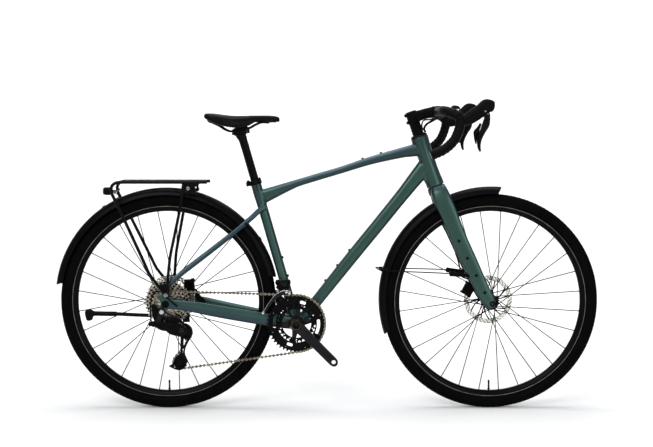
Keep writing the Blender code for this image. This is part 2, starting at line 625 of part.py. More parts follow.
outer_plate = meshed(plate("derailleur_cage", cage_outline(), -56.6, -55.0))
inner_plate = meshed(plate("derailleur_cage_inner", cage_outline(), -41.0, -39.4))
join(outer_plate, inner_plate,
     rod("guide_bolt", (GUIDE[0], -56, GUIDE[1]), (GUIDE[0], -40, GUIDE[1]), 2.8, sides=12),
     rod("tension_bolt", (TENSION[0], -56, TENSION[1]), (TENSION[0], -40, TENSION[1]), 2.8, sides=12),
     rod("cage_pivot", (CAGE_PIVOT[0], -55.8, CAGE_PIVOT[1]), (CAGE_PIVOT[0], -76, CAGE_PIVOT[1]), 4.5, sides=16))
finish(outer_plate, SATIN)

# Rear derailleur: hanger bolt, upper knuckle, parallelogram and lower knuckle.
lower = rod("rear_derailleur_body", (CAGE_PIVOT[0], -57.2, CAGE_PIVOT[1]), (CAGE_PIVOT[0], -85, CAGE_PIVOT[1]), 15.5, 14.0, sides=24)
join(lower, rod("upper_knuckle", (HANGER[0], -79.5, HANGER[1]), (HANGER[0], -92, HANGER[1]), 11.5, 10.5, sides=20),
     rod("hanger_bolt", (HANGER[0], -85, HANGER[1]), (HANGER[0], -66, HANGER[1]), 4.0, sides=12),
     loft("b_link", [((-530, -86, 326), 5.5, 10), ((-534, -87, 308), 6, 10), ((-536, -86, 291), 7, 9)], sides=10, power=3),
     loft("outer_link", [((-545, -86, 289), 6, 9), ((-520, -83, 284), 6, 13), ((-490, -79, 277), 6, 12), ((-462, -75, 269), 6, 10)], sides=10, power=3))
cut(lower, rod("cage_pivot_bore", (CAGE_PIVOT[0], -50, CAGE_PIVOT[1]), (CAGE_PIVOT[0], -77, CAGE_PIVOT[1]), 4.5 + GAP, sides=20))
finish(lower, BLACK)

# Front derailleur: a body beside the seat tube, and a cage round the chain on its upper pivot.
body = box("front_derailleur_body", (-160, -23.5, 392), (-124, -16.8, 424), 1.5)
join(body, rod("fd_pivot", (-164, -29, 417), (-120, -29, 417), 3.2, sides=12),
     box("fd_lugs", (-126, -31, 411), (-121, -17.5, 423)), box("fd_lug_rear", (-163, -31, 411), (-158, -17.5, 423)))
finish(body, BLACK)
fd_out = [(-108, 374.5), (-109, 388), (-124, 398), (-150, 398), (-172, 384), (-196, 350), (-212, 325), (-211, 317), (-200, 316), (-190, 332), (-172, 352), (-150, 366), (-128, 374)]
fd = meshed(plate("front_derailleur_cage", fd_out, -55.6, -54.4))
fd_inner = [(-108, 374.5), (-109, 388), (-124, 398), (-150, 398), (-172, 384), (-196, 350), (-209, 331), (-208, 324), (-199, 323), (-190, 332), (-172, 352), (-150, 366), (-128, 374)]
fd_in = meshed(plate("fd_inner_plate", fd_inner, -42.6, -41.4))
join(fd, fd_in, box("fd_tail_bridge", (-206, -55.2, 323.5), (-200.5, -41.8, 328)), box("fd_top_bridge", (-146, -55.2, 390), (-128, -41.8, 396)),
     box("fd_arm", (-154, -42, 394), (-131, -33.2, 398)), box("fd_link", (-154, -35.0, 396), (-131, -32.8, 424)))
finish(fd, STEEL)

# ---------------------------------------------------------------------- fork
def fork_legs():
    bm = bmesh.new()
    for side in (-1, 1):
        loft_bm(bm, [
            ((360, side * 17, 722), 17, 25), ((368, side * 30, 702), 18, 29), ((380, side * 40.0, 676), 11.5, 29), ((393, side * 42, 640), 11.0, 28), ((421, side * 46, 572), 10.8, 26),
            ((464.8, side * 53, 476), 10.6, 25), ((492, side * 58, 420), 10.3, 25), ((512, side * 60.6, 382), 10.1, 25),
            ((523, side * 61, 360), 10.3, 22), ((530, side * 61, 340), 10.3, 15)], sides=8, power=2.6, start=math.pi / 8)
    return from_bmesh("fork_legs", bm)


low, high = head(-24), head(-GAP)
fork = rod("fork", (low[0], 0, low[1]), (high[0], 0, high[1]), 30.5, 28.8, sides=24)
column = head_rod("steerer", -20, STEM_HIGH - 1, STEERER_R)
join(fork, fork_legs(), column)
cut(fork, rod("front_fender_room", (536, -28.6, 360), (536, 28.6, 360), 371.8, sides=44),
    head_rod("fork_head_room", -GAP, 40, 70, sides=24))
# The last cut also takes the steerer, which goes back as a piece of its own length.
column2 = head_rod("steerer_upper", -10, STEM_HIGH - 1, STEERER_R)
join(fork, column2)
cut(fork, rod("front_axle_hole", (FRONT_HUB[0], -90, FRONT_HUB[1]), (FRONT_HUB[0], 90, FRONT_HUB[1]), AXLE_R + GAP, sides=20))
finish(fork, FRAME)
rod("front_thru_axle", (FRONT_HUB[0], -70, FRONT_HUB[1]), (FRONT_HUB[0], 71, FRONT_HUB[1]), AXLE_R, sides=20)
finish(bpy.data.objects["front_thru_axle"], SATIN)

cover = head_rod("headset_cover_and_spacers", HEAD_LEN + GAP, 176.0, 28.5, 22.0, sides=18)
join(cover, head_rod("steerer_spacers", 175.0, STEM_LOW - GAP, 18.2, sides=18))
cut(cover, head_rod("cover_bore", 160, 230, STEERER_R + GAP))
finish(cover, BLACK)

# ----------------------------------------------------- stem, bar, tape, levers
stem = head_rod("stem", STEM_LOW, STEM_HIGH, 19.0, sides=18)
a = head((STEM_LOW + STEM_HIGH) / 2)
join(stem, loft("stem_body", [((a[0] + 6, 0, a[1] + 1.0), 17, 19), ((a[0] + 35, 0, a[1] + 8), 15.5, 16.5), ((BAR[0] - 8, 0, BAR[1] - 2), 18, 18)], sides=12, power=3.0, start=math.pi / 12),
     rod("bar_clamp", (BAR[0], -21, BAR[1]), (BAR[0], 21, BAR[1]), 20.5, sides=20),
     head_rod("stem_cap", STEM_HIGH - 1, STEM_HIGH + 3.5, 17, 15))
cut(stem, rod("bar_bore", (BAR[0], -40, BAR[1]), (BAR[0], 40, BAR[1]), BAR_CLAMP_R + GAP + 0.2, sides=20),
    head_rod("stem_bore", STEM_LOW - 20, STEM_HIGH - 1 + GAP, STEERER_R + GAP))
finish(stem, BLACK)

HALF_BAR = [(357.9, 62, 968.5), (357.9, 110, 968.5), (358.5, 150, 968.3), (362, 183, 967.3), (375, 205, 963.5), (394, 215.5, 955.5), (407, 219.5, 941),
            (405.5, 221.5, 921), (399.5, 223.5, 901), (389, 226, 879), (371, 228.5, 860), (350.3, 230.5, 845.5), (331, 232, 837.0), (319.5, 233, 832.5)]


def bar_path(side, first=0, extra=0.0):
    pts = [Vector((x, side * y, z)) for x, y, z in HALF_BAR[first:]]
    path = pts
    if extra:
        d = (path[-1] - path[-2]).normalized()
        path.append(path[-1] + d * extra)
    return path


bar = rod("handlebar", (BAR[0], -62, BAR[1]), (BAR[0], 62, BAR[1]), BAR_CLAMP_R, sides=20)
whole = [p for p in reversed(bar_path(-1))] + bar_path(1)
join(bar, meshed(wire("bar_ends", whole, BAR_R, resolution=1)))
finish(bar, BLACK)
for side, tag in ((-1, "right"), (1, "left")):
    path = bar_path(side)
    path[0] = Vector((BAR[0], side * 75, BAR[1]))
    end = (path[-1] - path[-2]).normalized()
    tape = meshed(wire("bar_tape_" + tag, path[:-1] + [path[-1] - end * 0.5], BAR_TAPE_R, resolution=1))
    room = bar_path(side, 0, 12.0)
    room[0] = Vector((BAR[0], side * 50, BAR[1]))
    cut(tape, meshed(wire("tape_bore_" + tag, room, BAR_R + 1.6, resolution=1)))
    finish(tape, RUBBER)
    y = side * 218.0
    hood = loft("lever_hood_" + tag, [((413, y, 936), 13, 15), ((432, y, 943), 14.5, 19), ((452, y, 956), 15, 20.5), ((470, y, 968.5), 15, 20.5), ((486, y, 979.5), 14.5, 24), ((498, y, 984), 13, 21), ((508.5, y, 985), 8, 12)],
                sides=12, power=2.6, start=math.pi / 12)
    grown = bar_path(side)
    cut(hood, meshed(wire("hood_room_" + tag, grown, BAR_TAPE_R + GAP + 0.3, resolution=1)),
        box("lever_slot_" + tag, (478, y - 9, 930), (520, y + 9, 964)))
    finish(hood, RUBBER)
    lever = loft("brake_lever_" + tag, [((490.5, y, 960.5), 7.5, 7), ((490, y, 945), 8.2, 8.6), ((486, y * 1.005, 925), 8.2, 10), ((475.5, y * 1.012, 905), 8.5, 9), ((468.2, y * 1.016, 890), 8.5, 8.6),
                                        ((464.2, y * 1.02, 872), 8, 6.5), ((464.5, y * 1.022, 856), 7.5, 5), ((468.2, y * 1.024, 843.5), 6, 3)], sides=10, power=2.8, start=math.pi / 10)
    finish(lever, BLACK)
    paddle = loft("shift_paddle_" + tag, [((467, y * 1.0, 928), 3.5, 3.0), ((461.5, y * 0.997, 914), 5, 4.5), ((455.3, y * 0.99, 903), 7, 6.8), ((453.2, y * 0.988, 893), 7, 4.6), ((453.6, y * 0.985, 880), 6.5, 2.8), ((455.4, y * 0.98, 868), 5, 1.5)], sides=8, power=3.0, start=math.pi / 8)
    finish(paddle, BLACK)
    # Each side's hose and cable drop from the tape's end to a clip above the headset cover.
    cable = smooth_path([(352, side * 71, 952.0), (353, side * 50, 941), (347, side * 28, 930), (333, side * 13, 918), (323, side * 9.5, 910), (317.9, side * 8.5, 906.4)], 2)
    hose = meshed(wire("control_hoses" if side < 0 else "control_hose_left", cable, 2.6, resolution=1))
    if side < 0:
        hoses = hose
    else:
        join(hoses, hose, rod("hose_clip", (317.9, -10, 906.6), (317.9, 10, 906.6), 3.4, sides=10))
        finish(hoses, RUBBER)

# ------------------------------------------------------------------ calipers
def caliper(name, hub, degrees, y_mid, half_y, slot_y):
    """A block over the rotor's edge, with the slot that the rotor runs in."""
    x, z = at(hub, 74.0, degrees)
    body = box(name, (x - 16, y_mid - half_y, z - 24), (x + 18, y_mid + half_y, z + 24), 2.0, ((x, 0, z), "Y", -degrees + (180 if degrees > 90 else 0)))
    slot = rod(name + "_slot", (hub[0], slot_y - 2.2, hub[1]), (hub[0], slot_y + 2.2, hub[1]), ROTOR_R + 3.0, sides=40)
    return finish(cut(body, slot), BLACK)


caliper("front_brake_caliper", FRONT_HUB, 152.0, 35.2, 9.3, FRONT_ROTOR_Y)
caliper("rear_brake_caliper", REAR_HUB, 41.0, 56.0, 9.4, REAR_ROTOR_Y)

# ------------------------------------------------------------------- fenders
def fender(name, centre, radius, width, deg0, deg1, steps):
    """An arched strip, spun part of a turn about the Y line through centre, and thickened inwards."""
    half = width / 2
    profile = [(radius - 17, -half), (radius - 8, -half + 1.5), (radius, -half / 2.4), (radius, half / 2.4), (radius - 8, half - 1.5), (radius - 17, half)]
    mesh = bpy.data.meshes.new(name)
    a = math.radians(deg0)
    # The strip starts at angle deg0 in the upright plane; the Screw turns about local Z, which lies along -Y.
    mesh.from_pydata([(r * math.cos(a) * MM, r * math.sin(a) * MM, -y * MM) for r, y in profile], [(i, i + 1) for i in range(len(profile) - 1)], [])
    obj = add(name, mesh)
    obj.location = (centre[0] * MM, 0.0, centre[1] * MM)
    obj.rotation_euler = (math.radians(90), 0.0, 0.0)
    screw = obj.modifiers.new("turn", "SCREW")
    screw.angle = math.radians(deg1 - deg0)
    screw.steps = screw.render_steps = steps
    screw.use_merge_vertices = False
    screw.use_smooth_shade = True
    skin = obj.modifiers.new("thickness", "SOLIDIFY")
    skin.thickness = 1.8 * MM
    skin.offset = -1.0
    skin.use_rim = True
    return finish(meshed(obj), BLACK)


REAR_FENDER = (-522.9, 359.6)
FRONT_FENDER = (536.0, 360.0)
fender("rear_fender", REAR_FENDER, 365.0, 54.0, 11.5, 172.5, 20)
fender("front_fender", FRONT_FENDER, 368.0, 54.0, 85.2, 198.5, 14)

# Wire stays of the front fender, from its rear part to the fork legs.
near = [(452.5, -58, 437.5), (380, -56, 448), (253, -46, 454), (190, -33, 455.5), (174, -30.5, 457.5), (163.5, -22, 461), (160.0, -8, 462.3)]
wires = meshed(wire("front_fender_stay", near + [(x, -y, z) for x, y, z in reversed(near)], 2.0, resolution=1, per=2))
finish(wires, SATIN)

# ---------------------------------------------------------------------- rack
def rack_tube(name, points, radius=4.8, per=2):
    return meshed(wire(name, points, radius, resolution=1, per=1))


def rack_side(side):
    main = [(-385, side * 50, 743), (-420, side * 52, 743), (-540, side * 53, 743), (-668, side * 53, 743), (-686, side * 54, 736), (-693, side * 55, 720), (-687.6, side * 56, 701.2), (-648.6, side * 63, 620.9), (-586.6, side * 77, 488.7), (-572, side * 81, 456.5), (-549, side * 85.5, 424), (-531, side * 87, 401), (-519, side * 87, 383)]
    front = [(-460, side * 52.6, 742), (-472, side * 58, 655.6), (-501, side * 76, 511.6), (-508.5, side * 86, 438.6), (-510, side * 87, 391)]
    return main, front


rack = None
pieces = []
for side, tag in ((-1, "r"), (1, "l")):
    main, front = rack_side(side)
    pieces.append(rack_tube("rear_rack" if side < 0 else "rack_main_l", main))
    pieces.append(rack_tube("rack_front_leg_" + tag, front))
    pieces.append(box("rack_foot_" + tag, (-528, min(side * 79.9, side * 90.4), 372.5), (-504, max(side * 79.9, side * 90.4), 392), 1.5))
pieces.append(box("rack_deck", (-655, -14, 740.5), (-394.3, 14, 749), 1.0))
for k, x in enumerate((-400.0, -488.0, -565.0, -645.0)):
    pieces.append(rod(f"rack_bar_{k}", (x, -52.4, 742.4), (x, 52.4, 742.4), 3.6, sides=10))
rack = pieces[0]
join(rack, *pieces[1:])
finish(rack, BLACK)

light = rod("rear_light", (-729, 0, 712), (-700, 0, 712), 11.0, 13.0, sides=20)
join(light, box("rear_light_bracket", (-704, -6, 704), (-661, 6, 712), 1.0), box("rear_light_hook", (-668, -6, 708), (-661, 6, 740.6), 1.0))
finish(light, (0.30, 0.012, 0.012, 0.25, 0.0))

# ----------------------------------------------------------------- kickstand
KICK = (-470.0, 286.0)
TILT = ((KICK[0], 78.5, KICK[1]), "X", 25.0)     # the fold's axis rises outwards, so the leg swings out as it drops


def tilted(t):
    """A point on the fold's axis, t millimetres outwards from the middle of the knuckle."""
    return (KICK[0], 78.5 + t * math.cos(math.radians(25)), KICK[1] + t * math.sin(math.radians(25)))


mount = box("kickstand_mount", (-488, 60, 303.5), (-450, 83, 326.0), 2.0)
join(mount, rod("kickstand_pin", tilted(-12.5), tilted(9.5), 5.0, sides=16),
     box("kickstand_cheek", (-482, 64.5, 275), (-458, 69.9, 303), 1.0, TILT),
     box("kickstand_web", (-483, 60, 290), (-457, 65.4, 306), 1.0))
cut(mount, loft("kickstand_stay_room", [
        ((-377.4, 62, 331.3), 6.9, 20.4), ((-409.2, 69.0, 338.5), 5.4, 19.4), ((-440, 74.5, 344), 4.4, 17.9),
        ((-475, 75.2, 349.5), 4.4, 16.4), ((-518.5, 75.2, 352), 4.4, 15.4)], sides=12, power=2.8, start=math.pi / 12))
finish(mount, BLACK)
leg = rod("kickstand_leg", tilted(-8.0), tilted(8.0), 11.0, sides=20)
join(leg, loft("kickstand_tube", [((-476, 78.5, 286.5), 6.5, 7), ((-520, 80, 289), 6.5, 6.5), ((-640, 83, 293.5), 6.5, 6.5), ((-707, 85, 296.5), 6.5, 6.5), ((-708, 85, 296.5), 8.2, 8.2), ((-787, 87, 297.5), 8.2, 8.2)], sides=12),
     loft("kickstand_foot", [((-784, 87, 297.5), 9, 9), ((-792, 87.5, 296), 12, 17), ((-800, 88, 291.5), 13, 19.5), ((-809, 88.3, 289), 9, 15)], sides=12))
cut(leg, rod("kickstand_bore", tilted(-30), tilted(30), 5.0 + GAP, sides=16))
finish(leg, SATIN)

# The rear gear cable: out of the chainstay's end, round behind the dropout and into the derailleur.
cable = [(-553.5, -87.5, 297), (-558, -88, 310), (-563, -88, 330), (-566.0, -88, 350), (-563, -87, 372), (-556, -84, 392)]
finish(meshed(wire("rear_shift_cable", cable, 2.3, resolution=1, per=2)), RUBBER)
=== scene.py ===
import math
import random

import bmesh
import bpy
from mathutils import Matrix, Vector, noise


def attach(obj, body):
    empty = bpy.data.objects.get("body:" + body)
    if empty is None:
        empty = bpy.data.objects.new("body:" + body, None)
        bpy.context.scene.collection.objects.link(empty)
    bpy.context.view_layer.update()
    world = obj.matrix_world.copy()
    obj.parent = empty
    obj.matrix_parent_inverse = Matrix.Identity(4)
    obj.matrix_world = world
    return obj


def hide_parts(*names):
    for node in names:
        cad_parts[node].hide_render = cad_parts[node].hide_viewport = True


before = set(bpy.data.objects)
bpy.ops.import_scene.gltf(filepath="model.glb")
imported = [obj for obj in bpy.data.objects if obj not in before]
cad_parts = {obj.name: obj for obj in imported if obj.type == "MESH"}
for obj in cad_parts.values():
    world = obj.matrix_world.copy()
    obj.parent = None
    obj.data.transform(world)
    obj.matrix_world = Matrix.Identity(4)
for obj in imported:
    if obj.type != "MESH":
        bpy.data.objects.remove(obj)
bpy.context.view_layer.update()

MM = 0.001
rnd = random.Random(7)

# ------------------------------------------------------------ shared numbers
REAR_HUB, FRONT_HUB, BB = (-518.5, 352.0), (532.5, 352.0), (-98.7, 285.0)
TYRE_R, RIM_OUT, RIM_IN = 352.0, 311.5, 295.0
PITCH = 12.7
GUIDE, TENSION = (-460.3, 254.5), (-476.7, 159.4)
CAGE_PIVOT, HANGER = (-466.5, 268.2), (-529.5, 328.6)
CHAIN_Y = -48.0
HEAD_FOOT, HEAD_DIR = (353.5, 729.3), (-0.32557, 0.94552)
SEAT_AT, SEAT_SLOPE = (-178.4, 552.5), -0.287
BAR = (357.9, 968.5)


def pitch_radius(teeth):
    return PITCH / (2.0 * math.sin(math.pi / teeth))


def seat_x(z):
    return SEAT_AT[0] + SEAT_SLOPE * (z - SEAT_AT[1])


def seat_line(z, y=0.0):
    return (seat_x(z), y, z)


def head(s, fwd=0.0, y=0.0):
    return (HEAD_FOOT[0] + HEAD_DIR[0] * s + HEAD_DIR[1] * fwd, y, HEAD_FOOT[1] + HEAD_DIR[1] * s - HEAD_DIR[0] * fwd)


def at(centre, radius, degrees):
    a = math.radians(degrees)
    return (centre[0] + radius * math.cos(a), centre[1] + radius * math.sin(a))


# ------------------------------------------------------------------ materials
def srgb(r, g, b):
    return tuple((c / 255 / 12.92) if c <= 10 else ((c / 255 + 0.055) / 1.055) ** 2.4 for c in (r, g, b))


class Mat:
    """A node material that starts with a Principled shader and object coordinates."""

    def __init__(self, name):
        self.m = bpy.data.materials.new(name)
        self.m.use_nodes = True
        self.t = self.m.node_tree
        self.p = self.t.nodes["Principled BSDF"]
        self.co = self.t.nodes.new("ShaderNodeTexCoord")

    def n(self, kind, **values):
        node = self.t.nodes.new(kind)
        for key, value in values.items():
            if hasattr(node, key):
                setattr(node, key, value)
            else:
                node.inputs[key.replace("_", " ")].default_value = value
        return node

    def link(self, a, b):
        self.t.links.new(a, b)

    def noise(self, scale, detail=4.0, rough=0.55, where=None):
        node = self.n("ShaderNodeTexNoise")
        node.inputs["Scale"].default_value = scale
        node.inputs["Detail"].default_value = detail
        node.inputs["Roughness"].default_value = rough
        self.link(where or self.co.outputs["Object"], node.inputs["Vector"])
        return node.outputs["Fac"]

    def span(self, value, low, high, out_low, out_high):
        node = self.n("ShaderNodeMapRange")
        for key, v in (("From Min", low), ("From Max", high), ("To Min", out_low), ("To Max", out_high)):
            node.inputs[key].default_value = v
        self.link(value, node.inputs["Value"])
        return node.outputs["Result"]

    def math(self, op, a, b=None):
        node = self.n("ShaderNodeMath", operation=op)
        for i, v in enumerate((a, b)):
            if v is None:
                continue
            if isinstance(v, (int, float)):
                node.inputs[i].default_value = v
            else:
                self.link(v, node.inputs[i])
        return node.outputs[0]

    def mix(self, fac, a, b, blend="MIX"):
        node = self.n("ShaderNodeMix", data_type="RGBA", blend_type=blend)
        if isinstance(fac, (int, float)):
            node.inputs[0].default_value = fac
        else:
            self.link(fac, node.inputs[0])
        for slot, v in ((6, a), (7, b)):
            if isinstance(v, tuple):
                node.inputs[slot].default_value = (*v, 1.0)
            else:
                self.link(v, node.inputs[slot])
        return node.outputs[2]

    def bump(self, height, strength, distance=0.001, normal=None):
        node = self.n("ShaderNodeBump")
        node.inputs["Strength"].default_value = strength
        node.inputs["Distance"].default_value = distance
        self.link(height, node.inputs["Height"])
        if normal is not None:
            self.link(normal, node.inputs["Normal"])
        return node.outputs["Normal"]

    def set(self, **values):
        for key, value in values.items():
            socket = self.p.inputs[key.replace("_", " ")]
            if isinstance(value, (int, float)):
                socket.default_value = value
            elif isinstance(value, tuple):
                socket.default_value = (*value, 1.0) if len(value) == 3 else value
            else:
                self.link(value, socket)
        return self


def plain(name, dark, light, rough, metal, grain=900.0, bump=0.08, patch=14.0, coat=0.0, coat_rough=0.2, spec=0.5, edge_wear_and_glint=None):
    """Two close colours over patches, a fine grain in the gloss and the surface, and an optional colour on sharp edges:
    edge wear on the dark parts, a painted highlight where that colour is bright, as on the cog teeth.
    """
    m = Mat(name)
    blotch = m.noise(patch, 5.0)
    fine = m.noise(grain, 3.0)
    colour = m.mix(m.span(blotch, 0.35, 0.65, 0.0, 1.0), dark, light)
    # Colour on sharp edges: partly edge wear, partly a painted highlight.
    if edge_wear_and_glint:
        edge = m.n("ShaderNodeNewGeometry").outputs["Pointiness"]
        edge_wear_and_glint_mask = m.math("MULTIPLY", m.span(edge, 0.53, 0.62, 0.0, 1.0), m.span(m.noise(120.0, 5.0), 0.45, 0.7, 0.0, 1.0))
        colour = m.mix(edge_wear_and_glint_mask, colour, edge_wear_and_glint)
    m.set(Base_Color=colour, Metallic=metal, Roughness=m.span(fine, 0.3, 0.7, rough - 0.06, rough + 0.07),
          Normal=m.bump(fine, bump, 0.0004), Coat_Weight=coat, Coat_Roughness=coat_rough, Specular_IOR_Level=spec)
    return m.m


def flip_paint():
    """Satin metallic green paint with painted light: a pale painted highlight where it faces up, painted slate shade
    where it turns away or down, and a cooler painted shade on the top tube, the stays and the lower half of each
    chainstay.
    """
    m = Mat("flip_paint")
    normal, place = m.n("ShaderNodeSeparateXYZ"), m.n("ShaderNodeSeparateXYZ")
    m.link(m.co.outputs["Normal"], normal.inputs[0])
    m.link(m.co.outputs["Object"], place.inputs[0])
    x, z, nz = place.outputs["X"], place.outputs["Z"], normal.outputs["Z"]
    # Painted light: a pale highlight where the surface faces up, slate shade where it faces down, darker shade where it
    # turns away from the side.
    up = m.span(nz, 0.25, 0.80, 0.0, 1.0)
    painted_underside_shade = m.span(nz, -0.06, -0.45, 0.0, 1.0)
    ends = m.span(m.math("ABSOLUTE", normal.outputs["Y"]), 0.985, 0.60, 0.0, 1.0)
    flake = m.n("ShaderNodeTexVoronoi")
    flake.inputs["Scale"].default_value = 2600.0
    m.link(m.co.outputs["Object"], flake.inputs["Vector"])
    sparkle = m.span(flake.outputs["Distance"], 0.1, 0.6, 0.0, 1.0)
    # Three cooler, darker places in painted shade: the seatstays, the lower half of each chainstay and the top tube.
    stays = m.math("MULTIPLY", m.span(x, -0.205, -0.232, 0.0, 1.0), m.span(z, 0.395, 0.412, 0.0, 1.0))
    under = m.math("ADD", z, m.math("MULTIPLY", x, 0.192))
    chain = m.math("MULTIPLY", m.math("MULTIPLY", m.span(under, 0.2625, 0.2575, 0.0, 1.0), m.span(x, -0.12, -0.16, 0.0, 1.0)), m.span(z, 0.42, 0.40, 0.0, 0.9))
    over = m.math("SUBTRACT", z, m.math("MULTIPLY", x, 0.25))
    top = m.math("MULTIPLY", m.math("MULTIPLY", m.span(over, 0.690, 0.712, 0.0, 0.75), m.span(x, -0.19, -0.12, 0.0, 1.0)), m.span(x, 0.325, 0.25, 0.0, 1.0))
    painted_cool_shade = m.math("MAXIMUM", m.math("MAXIMUM", stays, chain), top)
    base = m.mix(m.span(m.noise(6.0, 3.0), 0.3, 0.7, 0.0, 1.0), srgb(46, 75, 65), srgb(39, 66, 60))
    colour = m.mix(painted_cool_shade, base, srgb(34, 51, 62))
    # Painted shade on the edges that turn away and on the undersides, then the painted highlight on the upper faces.
    colour = m.mix(m.math("MULTIPLY", ends, 0.85), colour, srgb(22, 31, 44))
    colour = m.mix(painted_underside_shade, colour, srgb(17, 22, 32))
    colour = m.mix(up, colour, srgb(66, 86, 97))
    colour = m.mix(m.math("MULTIPLY", sparkle, 0.12), colour, srgb(88, 122, 116))
    m.set(Base_Color=colour, Metallic=0.75, Roughness=m.span(m.noise(700.0), 0.3, 0.7, 0.32, 0.42), Coat_Weight=0.15, Coat_Roughness=0.25, Specular_IOR_Level=0.35,
          Normal=m.bump(m.noise(2200.0, 2.0), 0.03, 0.0002))
    return m.m


def rubber(name, dark, light, rough=0.78, pattern=None, scale=500.0, strength=0.35, distance=0.0006, spec=0.16):
    m = Mat(name)
    fine = m.noise(1300.0, 3.0)
    height = fine
    if pattern == "diamonds":
        cell = m.n("ShaderNodeTexVoronoi")
        cell.inputs["Scale"].default_value = scale
        cell.inputs["Randomness"].default_value = 0.0
        m.link(m.co.outputs["Object"], cell.inputs["Vector"])
        height = m.math("ADD", m.math("MULTIPLY", m.span(cell.outputs["Distance"], 0.25, 0.55, 1.0, 0.0), 1.0), m.math("MULTIPLY", fine, 0.15))
    colour = m.mix(m.span(m.noise(18.0, 6.0), 0.35, 0.7, 0.0, 1.0), dark, light)
    m.set(Base_Color=colour, Roughness=m.span(fine, 0.3, 0.7, rough - 0.08, min(rough + 0.1, 1.0)), Normal=m.bump(height, strength, distance),
          Specular_IOR_Level=spec)
    return m.m


def brushed(name, dark, light, rough, hub=None, metal=1.0, strength=0.06):
    """Turned or brushed metal; hub = (x, y, z) in metres gives rings round a Y line through it."""
    m = Mat(name)
    if hub:
        shift = m.n("ShaderNodeVectorMath", operation="SUBTRACT")
        shift.inputs[1].default_value = hub
        m.link(m.co.outputs["Object"], shift.inputs[0])
        flat = m.n("ShaderNodeVectorMath", operation="MULTIPLY")
        flat.inputs[1].default_value = (1.0, 0.0, 1.0)
        m.link(shift.outputs[0], flat.inputs[0])
        size = m.n("ShaderNodeVectorMath", operation="LENGTH")
        m.link(flat.outputs[0], size.inputs[0])
        one = m.n("ShaderNodeCombineXYZ")
        m.link(size.outputs["Value"], one.inputs[0])
        streak = m.noise(1800.0, 2.0, where=one.outputs[0])
    else:
        scale = m.n("ShaderNodeMapping")
        scale.inputs["Scale"].default_value = (1.0, 14.0, 14.0)
        m.link(m.co.outputs["Object"], scale.inputs["Vector"])
        streak = m.noise(220.0, 3.0, where=scale.outputs[0])
    grime = m.noise(35.0, 5.0)
    colour = m.mix(m.span(grime, 0.35, 0.7, 0.0, 1.0), light, dark)
    m.set(Base_Color=colour, Metallic=metal, Roughness=m.span(streak, 0.3, 0.7, rough - 0.08, rough + 0.1), Normal=m.bump(streak, strength, 0.0003))
    return m.m


PAINT = flip_paint()
BLACK = plain("satin_black", srgb(3, 3, 3), srgb(7, 7, 8), 0.42, 0.1, spec=0.06, edge_wear_and_glint=srgb(11, 11, 12))
BLACK_SMOOTH = plain("black_anodised", srgb(4, 4, 4), srgb(8, 8, 9), 0.34, 0.3, grain=1800.0, bump=0.03, spec=0.08, edge_wear_and_glint=srgb(12, 12, 13))
GREY_ARM = plain("crank_grey", srgb(27, 27, 28), srgb(36, 36, 38), 0.32, 0.7, spec=0.12, grain=1800.0, bump=0.03, edge_wear_and_glint=srgb(28, 28, 29))
PLASTIC = plain("black_plastic", srgb(3, 3, 3), srgb(6, 6, 7), 0.5, 0.0, grain=1500.0, bump=0.12, spec=0.05)
FENDER = plain("fender_plastic", srgb(3, 3, 3), srgb(6, 6, 7), 0.34, 0.0, grain=700.0, bump=0.02, patch=5.0, spec=0.06)
TYRE = rubber("tyre_rubber", srgb(2, 2, 2), srgb(5, 5, 6), 0.7, spec=0.04)
TAPE = rubber("bar_tape", srgb(3, 3, 3), srgb(6, 6, 7), 0.42, spec=0.06, pattern="diamonds", scale=330.0, strength=0.25, distance=0.0005)
HOOD = rubber("hood_rubber", srgb(3, 3, 3), srgb(6, 6, 7), 0.5, spec=0.06, pattern="diamonds", scale=420.0, strength=0.12, distance=0.0003)
CABLE = plain("cable_jacket", srgb(3, 3, 3), srgb(6, 6, 7), 0.38, 0.0, grain=2500.0, bump=0.05, spec=0.10)
STEEL = brushed("brushed_steel", srgb(150, 150, 150), srgb(205, 205, 203), 0.28)
SCREW = plain("screw_steel", srgb(120, 120, 122), srgb(176, 176, 176), 0.25, 1.0, grain=1800.0, bump=0.03)
BLACK_SCREW = plain("black_screw", srgb(4, 4, 4), srgb(8, 8, 9), 0.35, 0.2, spec=0.08, grain=1800.0, bump=0.03)
SPOKE = plain("spoke_black", srgb(2, 2, 2), srgb(4, 4, 5), 0.5, 0.0, spec=0.03)


# -------------------------------------------------------------------- helpers
def keep(obj, body, look, replaces=()):
    obj.data.materials.clear()
    obj.data.materials.append(look)
    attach(obj, body)
    if replaces:
        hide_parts(*replaces)
    return obj


def make(name, bm, sharp=40.0, smooth=True):
    bmesh.ops.recalc_face_normals(bm, faces=bm.faces[:])
    mesh = bpy.data.meshes.new(name)
    bm.to_mesh(mesh)
    bm.free()
    if smooth:
        mesh.shade_smooth()
        mesh.set_sharp_from_angle(angle=math.radians(sharp))
    obj = bpy.data.objects.new(name, mesh)
    bpy.context.scene.collection.objects.link(obj)
    return obj


def baked(obj):
    """The object with its modifiers applied."""
    bpy.context.view_layer.update()
    graph = bpy.context.evaluated_depsgraph_get()
    mesh = bpy.data.meshes.new_from_object(obj.evaluated_get(graph), depsgraph=graph)
    old = obj.data
    if obj.type != "MESH":
        name, world = obj.name, obj.matrix_world.copy()
        bpy.data.objects.remove(obj, do_unlink=True)
        obj = bpy.data.objects.new(name, mesh)
        bpy.context.scene.collection.objects.link(obj)
        mesh.transform(world)
        return obj
    obj.modifiers.clear()
    obj.data = mesh
    return obj


